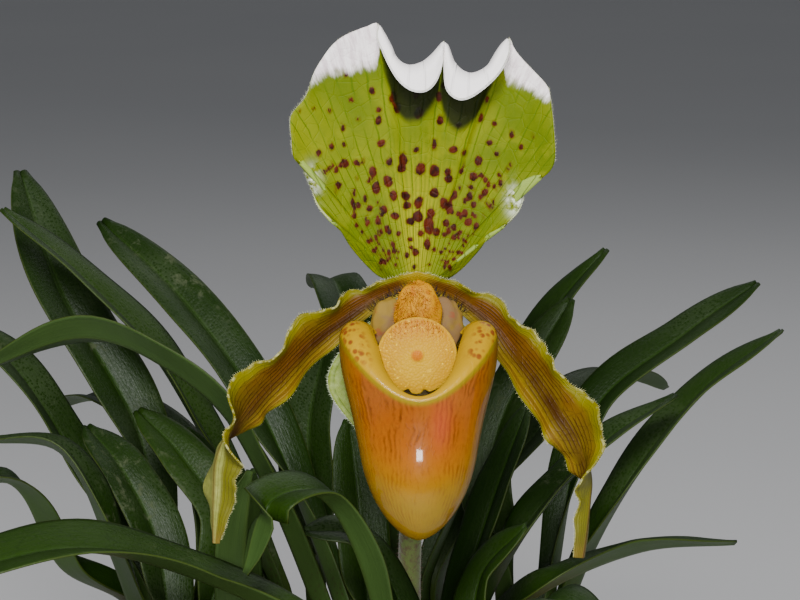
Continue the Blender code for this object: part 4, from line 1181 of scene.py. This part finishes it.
def tube(name, path, radii, sides, finish, ribs=0):
    """A closed tube along the path, as wide as radii say, with flat ends."""
    bm = bmesh.new()
    bmesh.ops.create_cone(bm, cap_ends=True, segments=sides, radius1=1.0, radius2=1.0, depth=1.0)
    upright = [edge for edge in bm.edges if abs(edge.verts[0].co.z - edge.verts[1].co.z) > 0.5]
    bmesh.ops.subdivide_edges(bm, edges=upright, cuts=TUBE_CUTS * (len(path) - 1) - 1)
    rib = bm.verts.layers.float.new("rib")
    surface = tube_surface(path, radii, ribs)
    for vert in bm.verts:
        t = min(1.0, max(0.0, vert.co.z + 0.5))
        angle = math.atan2(vert.co.y, vert.co.x)
        vert[rib] = math.cos(ribs * angle)
        vert.co = surface(angle, t)
    return piece_from(bm, name, [finish])


def tube_surface(path, radii, ribs):
    def middle_curve(t):
        return along_points(path, t)

    def surface(angle, t):
        tangent = direction_along(middle_curve, t)
        sideways = tangent.cross(Vector((0.0, -1.0, 0.3))).normalized()
        front = tangent.cross(sideways)
        radius = along_values(radii, t) * (1.0 + (0.06 * math.cos(ribs * angle) if ribs else 0.0))
        return middle_curve(t) + sideways * (radius * math.cos(angle)) + front * (radius * math.sin(angle))

    return surface


SCAPE_PATH = [
    Vector(point) for point in (
        (16.0, 2.0, POCKET_FLOOR + CLEARANCE + 0.1), (16.0, 1.9, 110.0), (15.7, -4.0, 130.0),
        (15.6, -12.0, 150.0), (16.4, -20.0, 174.0),
    )
]
SCAPE_RADII = [2.9, 2.7, 2.6, 2.6]
SCAPE_SIDES = 28
SCAPE_HAIRS = 900
STEM_HAIR_SEED = 21
OVARY_RADII = [2.7, 3.4, 3.4, 3.1, 2.8, 2.8]
OVARY_SIDES = 48
OVARY_RIBS = 6
OVARY_HAIRS = 700
BRACT_GRID = 36
BRACT_THICKNESS = 0.7


def stem_finish(name, green, purple, ribbed):
    """Green under purple specks and short down."""
    finish = Finish(name, {"Specular IOR Level": 0.35, "Sheen Weight": 0.3})
    specks = finish.patches(0.45, 0.62, 420.0, 4.0, 0.7)
    clouds = finish.grain(90.0)
    finish.start(clouds * 0.6, green, (0.24, 0.27, 0.08))
    finish.paint(specks * 0.6, purple)
    if ribbed:
        [rib] = finish.notes("rib")
        finish.paint(finish.between(rib, 0.1, 0.9) * 0.4, purple)
    return finish.done(0.5 + specks * 0.2, specks * 0.6 + clouds * 0.4, 0.15, 0.7)


def make_stem():
    scape_look = stem_finish("scape_green", (0.09, 0.14, 0.03), (0.09, 0.02, 0.03), False)
    ovary_look = stem_finish("ovary_green", (0.15, 0.2, 0.04), (0.12, 0.03, 0.03), True)
    bract_look = stem_finish("bract_green", (0.13, 0.2, 0.04), (0.1, 0.03, 0.02), False)
    direction = (SCAPE_PATH[-1] - SCAPE_PATH[-2]).normalized()
    scape = tube("scape_stalk", SCAPE_PATH, SCAPE_RADII, SCAPE_SIDES, scape_look)
    stand_for(scape, "scape", "scape")
    start = SCAPE_PATH[-1] + direction * CLEARANCE
    path = [start, start + direction * 11.0, Vector((17.0, -29.5, 203.0))]
    path += [flower_point(*point) for point in OVARY_TOP]
    ovary = tube("ovary_ribbed", path, OVARY_RADII, OVARY_SIDES, ovary_look, OVARY_RIBS)
    stand_for(ovary, "scape", "ovary")

    def bract_surface(across, along):
        q = 2.0 * across - 1.0
        round_half = math.radians(118.0) * (1.0 - 0.75 * smooth_step(0.35, 1.0, along))
        angle = math.pi / 2.0 + q * round_half
        radius = 4.3 + 2.4 * along**1.5
        away = Vector((radius * math.cos(angle), radius * math.sin(angle), 3.0 * along))
        return along_points(path, 0.03 + 0.6 * along) + away, {"thick": 1.0 - 0.4 * abs(q)}

    bract = sheet("bract_sheath", BRACT_GRID, BRACT_GRID, bract_surface, BRACT_THICKNESS, [bract_look])
    stand_for(bract, "bract", "bract")

    hairs = Hairs(STEM_HAIR_SEED)
    for middle, radii, ribs, count, low in (
        (SCAPE_PATH, SCAPE_RADII, 0, SCAPE_HAIRS, 0.2), (path, OVARY_RADII, OVARY_RIBS, OVARY_HAIRS, 0.02)
    ):
        surface = tube_surface(middle, radii, ribs)
        for index in range(count):
            t = low + (0.98 - low) * (index + 0.5) / count
            root = surface(index * GOLDEN_ANGLE, t)
            hairs.add(root, root - along_points(middle, t), 0.95, 0.06, 0.3)
    hairs.done("stem_hairs", "scape", "hair_purple", (0.1, 0.03, 0.04), (0.3, 0.2, 0.16))


# Pot

def rounded(profile, radius, steps=4):
    """The profile with each inner corner replaced by a short curve."""
    made = [profile[0]]
    for before, corner, after in zip(profile, profile[1:], profile[2:]):
        start = corner + (before - corner).normalized() * min(radius, (before - corner).length / 2.2)
        end = corner + (after - corner).normalized() * min(radius, (after - corner).length / 2.2)
        for step in range(steps + 1):
            t = step / steps
            made.append(start * (1 - t) ** 2 + corner * (2 * t * (1 - t)) + end * t**2)
    return made + [profile[-1]]


def terracotta():
    """Fired clay: warm orange-brown, sandy, with turning rings and a pale lime bloom low and at the rim."""
    finish = Finish("terracotta", {"Specular IOR Level": 0.25})
    height = finish.node("SeparateXYZ", {}, {"Vector": finish.object_place}, "Z")
    clouds = finish.grain(22.0, 5.0, 0.6)
    sand = finish.grain(900.0)
    rings = finish.grain(1.0, 3.0, place=finish.place(clouds * 0.6, 0.0, height * 900.0))
    finish.start(clouds, (0.36, 0.12, 0.05), (0.52, 0.21, 0.1))
    finish.paint(sand * 0.35, (0.6, 0.3, 0.17))
    lime = finish.patches(0.52, 0.7, 30.0, 6.0, 0.7, distortion=0.8)
    lime = lime * (finish.between(height, 0.045, 0.0) + finish.between(height, 0.088, 0.112)).or_less(1.0)
    finish.paint(lime * 0.55, (0.66, 0.56, 0.47))
    damp = finish.patches(0.5, 0.7, 16.0)
    finish.paint(damp * 0.35, (0.2, 0.075, 0.035))
    return finish.done(0.78 + sand * 0.15, sand * 0.5 + rings * 0.5, 0.25, 0.6)


def make_pot():
    inner_foot = POT_FOOT_RADIUS - POT_WALL
    inner_top = POT_TOP_RADIUS - POT_WALL
    rim_start = POT_HEIGHT - POT_RIM_DEPTH
    corners = [
        (0.0, 0.0), (POT_FOOT_RADIUS, 0.0), (POT_TOP_RADIUS - 1.5, rim_start - 0.5),
        (POT_RIM_RADIUS, rim_start), (POT_RIM_RADIUS, POT_HEIGHT), (inner_top + 2.2, POT_HEIGHT),
        (inner_top + 1.0, POT_HEIGHT - 2.0), (inner_foot, POT_FLOOR), (0.0, POT_FLOOR),
    ]
    profile = rounded([Vector((radius, 0.0, height)) for radius, height in corners], POT_CORNER_RADIUS)
    bm = bmesh.new()
    verts = [bm.verts.new(point) for point in profile]
    edges = [bm.edges.new(pair) for pair in zip(verts, verts[1:])]
    bmesh.ops.spin(
        bm, geom=verts + edges, cent=(0, 0, 0), axis=(0, 0, 1), angle=2.0 * math.pi, steps=POT_SEGMENTS,
        use_merge=True,
    )
    bmesh.ops.remove_doubles(bm, verts=bm.verts, dist=JOIN_DISTANCE)
    bmesh.ops.recalc_face_normals(bm, faces=bm.faces)
    pot = piece_from(bm, "clay_pot", [terracotta()])
    for index in range(DRAIN_COUNT):
        angle = 2.0 * math.pi * (index + 0.42) / DRAIN_COUNT
        bm = bmesh.new()
        bmesh.ops.create_cone(
            bm, cap_ends=True, segments=32, radius1=DRAIN_RADIUS, radius2=DRAIN_RADIUS, depth=POT_FLOOR * 3.0
        )
        shift = (DRAIN_DISTANCE * math.cos(angle), DRAIN_DISTANCE * math.sin(angle), POT_FLOOR / 2.0)
        bmesh.ops.translate(bm, vec=shift, verts=bm.verts)
        cut_from(pot, piece_from(bm, "drain", []))
    pot.data.set_sharp_from_angle(angle=math.radians(50.0))
    stand_for(pot, "terracotta", "pot")


def cut_from(piece, cutter):
    cut = piece.modifiers.new("cut", "BOOLEAN")
    cut.operation = "DIFFERENCE"
    cut.object = cutter
    graph = bpy.context.evaluated_depsgraph_get()
    made = bpy.data.meshes.new_from_object(piece.evaluated_get(graph))
    piece.modifiers.clear()
    piece.data = made
    bpy.data.objects.remove(cutter, do_unlink=True)


# Growing medium
BED_COLUMNS = 110
BED_ROWS = 84
BED_TOP_END = 0.6
POCKET_DEPTH = 6.6


def medium_radius(height):
    """The room inside the pot at a height, less the clearance."""
    inner_foot = POT_FOOT_RADIUS - POT_WALL
    inner_top = POT_TOP_RADIUS - POT_WALL + 1.0
    share = (height - POT_FLOOR) / (POT_HEIGHT - 2.0 - POT_FLOOR)
    return inner_foot + (inner_top - inner_foot) * share - 2.0 * CLEARANCE


def pocket_depth(x, y, margin=1.0):
    """How deep, from 0 to 1, a point lies in the hollow of one of the fans."""
    deepest = 0.0
    for growth in GROWTHS.values():
        away = Vector((x, y, 0.0)) - growth.place
        along = away.dot(growth.right) / (growth.room + 3.0 * RANK_STEP + 2.0 + margin)
        across = away.dot(Vector((-growth.right.y, growth.right.x, 0.0))) / (7.6 + margin)
        deepest = max(deepest, 1.0 - smooth_step(0.9, 1.2, math.hypot(along, across)))
    return deepest


def bark_finish(name, dark, light):
    finish = Finish(name, {"Specular IOR Level": 0.2})
    fibre = finish.grain(160.0, 5.0, 0.65, distortion=1.2)
    blocks = finish.cells(120.0, output="Color")
    block_tone = finish.node("SeparateColor", {}, {"Color": blocks}, "Red")
    fine = finish.grain(1100.0)
    finish.start(fibre, dark, light)
    finish.paint(block_tone * 0.35, (0.26, 0.13, 0.06))
    finish.paint(finish.between(fine, 0.55, 0.75) * 0.25, (0.4, 0.28, 0.17))
    return finish.done(0.82 + fine * 0.15, fibre * 0.7 + fine * 0.3, 0.9, 0.9)


def make_medium():
    """A plug of fine bark with a hollow for each fan, and rough chips over it. The seeds keep the chips the
    same in every run."""
    low = POT_FLOOR + CLEARANCE

    def place(across, along):
        turn = 2.0 * math.pi * across
        top_share = min(1.0, along / BED_TOP_END)
        fall = smooth_step(0.62, 0.8, along)
        inward = 1.0 - max(0.0, (along - 0.82) / 0.18)
        height = MEDIUM_TOP + (low - MEDIUM_TOP) * fall
        radius = medium_radius(height) * top_share * inward
        x, y = radius * math.cos(turn), radius * math.sin(turn)
        if along <= BED_TOP_END:
            edge = 1.0 - smooth_step(0.85, 1.0, top_share)
            rough = 1.5 * noise.noise(Vector((x, y, 0.0)) * 0.22)
            rough += 0.6 * noise.noise(Vector((x, y, 5.0)) * 0.7)
            height += rough * edge - POCKET_DEPTH * pocket_depth(x, y)
        return Vector((x, y, height))

    bm = bmesh.new()
    bmesh.ops.create_grid(bm, x_segments=BED_COLUMNS, y_segments=BED_ROWS, size=0.5)
    for vert in bm.verts:
        vert.co = place(vert.co.x + 0.5, vert.co.y + 0.5)
    bmesh.ops.remove_doubles(bm, verts=bm.verts, dist=JOIN_DISTANCE)
    bmesh.ops.recalc_face_normals(bm, faces=bm.faces)
    bed = piece_from(bm, "bark_bed", [bark_finish("bark_fine", (0.025, 0.013, 0.007), (0.11, 0.06, 0.03))])
    stand_for(bed, "bark", "growing_medium")

    draw = random.Random(CHIP_SEED)
    noise.seed_set(CHIP_SEED)
    block = chip_block()
    bm = bmesh.new()
    for index in range(CHIP_COUNT):
        radius = (medium_radius(MEDIUM_TOP) - 7.0) * math.sqrt((index + 0.5) / CHIP_COUNT)
        angle = index * GOLDEN_ANGLE
        x, y = radius * math.cos(angle), radius * math.sin(angle)
        if pocket_depth(x, y, 4.0) > 0.05:
            continue
        size = Vector((draw.uniform(7, 12), draw.uniform(5, 8), draw.uniform(3, 6)))
        turn = Euler((draw.uniform(-0.4, 0.4), draw.uniform(-0.4, 0.4), draw.uniform(0.0, math.pi)))
        middle = Vector((x, y, MEDIUM_TOP + draw.uniform(0.0, 1.6)))
        add_chip(bm, block, middle, size, turn, draw.uniform(0, 50))
    chips = piece_from(bm, "bark_chips", [bark_finish("bark_chip", (0.05, 0.024, 0.012), (0.2, 0.1, 0.045))])


def chip_block():
    """The plain block, cut into small faces, from which every chip is made."""
    bm = bmesh.new()
    bmesh.ops.create_cube(bm, size=1.0)
    bmesh.ops.subdivide_edges(bm, edges=bm.edges, cuts=3, use_grid_fill=True)
    block = bpy.data.meshes.new("chip_block")
    bm.to_mesh(block)
    bm.free()
    return block


def add_chip(bm, block, middle, size, turn, phase):
    """One chip of bark: a block with its corners worn and its faces rough."""
    first = len(bm.verts)
    bm.from_mesh(block)
    bm.verts.ensure_lookup_table()
    matrix = turn.to_matrix()
    for vert in bm.verts[first:]:
        spot = vert.co.copy()
        worn = 1.0 - 0.16 * max(0.0, spot.length - 0.5)
        spot = spot * worn + 0.09 * noise.noise_vector(spot * 3.1 + Vector((phase, 0.0, phase)))
        vert.co = middle + matrix @ Vector((spot.x * size.x, spot.y * size.y, spot.z * size.z))


# Floor, light and camera, in metres
WORLD_COLOUR = (0.92, 0.95, 1.0, 1.0)
WORLD_STRENGTH = 0.15
LIGHTS = (
    ("key_light", Vector((-0.05, -0.62, 0.67)), 0.22, 9.6),
    ("front_light", Vector((0.035, -0.72, 0.36)), 0.12, 3.4),
    ("top_light", Vector((0.3, 0.7, 1.0)), 0.8, 3.0),
)
LIGHT_TARGET = Vector((0.01, -0.03, 0.2))
CAMERA_PLACE = (0.01343, -0.54771, 0.32603)
CAMERA_TILT = math.radians(78.0)
CAMERA_LENS = 110.0


def make_studio():
    bpy.ops.mesh.primitive_plane_add(size=14.0, location=(0.0, 0.0, -0.0005))
    floor = bpy.context.object
    floor.name = "floor"
    look = Finish("floor_pale", {"Roughness": 0.7, "Specular IOR Level": 0.2})
    look.feed("Base Color", look.mix(look.grain(3.0, 2.0), (0.62, 0.62, 0.63), (0.66, 0.66, 0.66)))
    floor.data.materials.append(look.material)

    world = bpy.data.worlds.new("studio")
    bpy.context.scene.world = world
    world.use_nodes = True
    sky = world.node_tree.nodes["Background"]
    sky.inputs["Color"].default_value = WORLD_COLOUR
    sky.inputs["Strength"].default_value = WORLD_STRENGTH

    for name, place, size, power in LIGHTS:
        light = bpy.data.lights.new(name, "AREA")
        light.size = size
        light.energy = power
        lamp = bpy.data.objects.new(name, light)
        bpy.context.scene.collection.objects.link(lamp)
        lamp.location = place
        lamp.rotation_euler = (LIGHT_TARGET - place).to_track_quat("-Z", "Y").to_euler()

    camera = bpy.data.cameras.new("camera")
    camera.lens = CAMERA_LENS
    camera.sensor_width = 36.0
    holder = bpy.data.objects.new("camera", camera)
    bpy.context.scene.collection.objects.link(holder)
    holder.location = CAMERA_PLACE
    holder.rotation_euler = (CAMERA_TILT, 0.0, 0.0)
    bpy.context.scene.camera = holder


make_studio()
make_pot()
make_medium()
make_leaves()
make_stem()
make_dorsal_sepal()
make_synsepal()
make_petals()
make_pouch()
make_staminode()
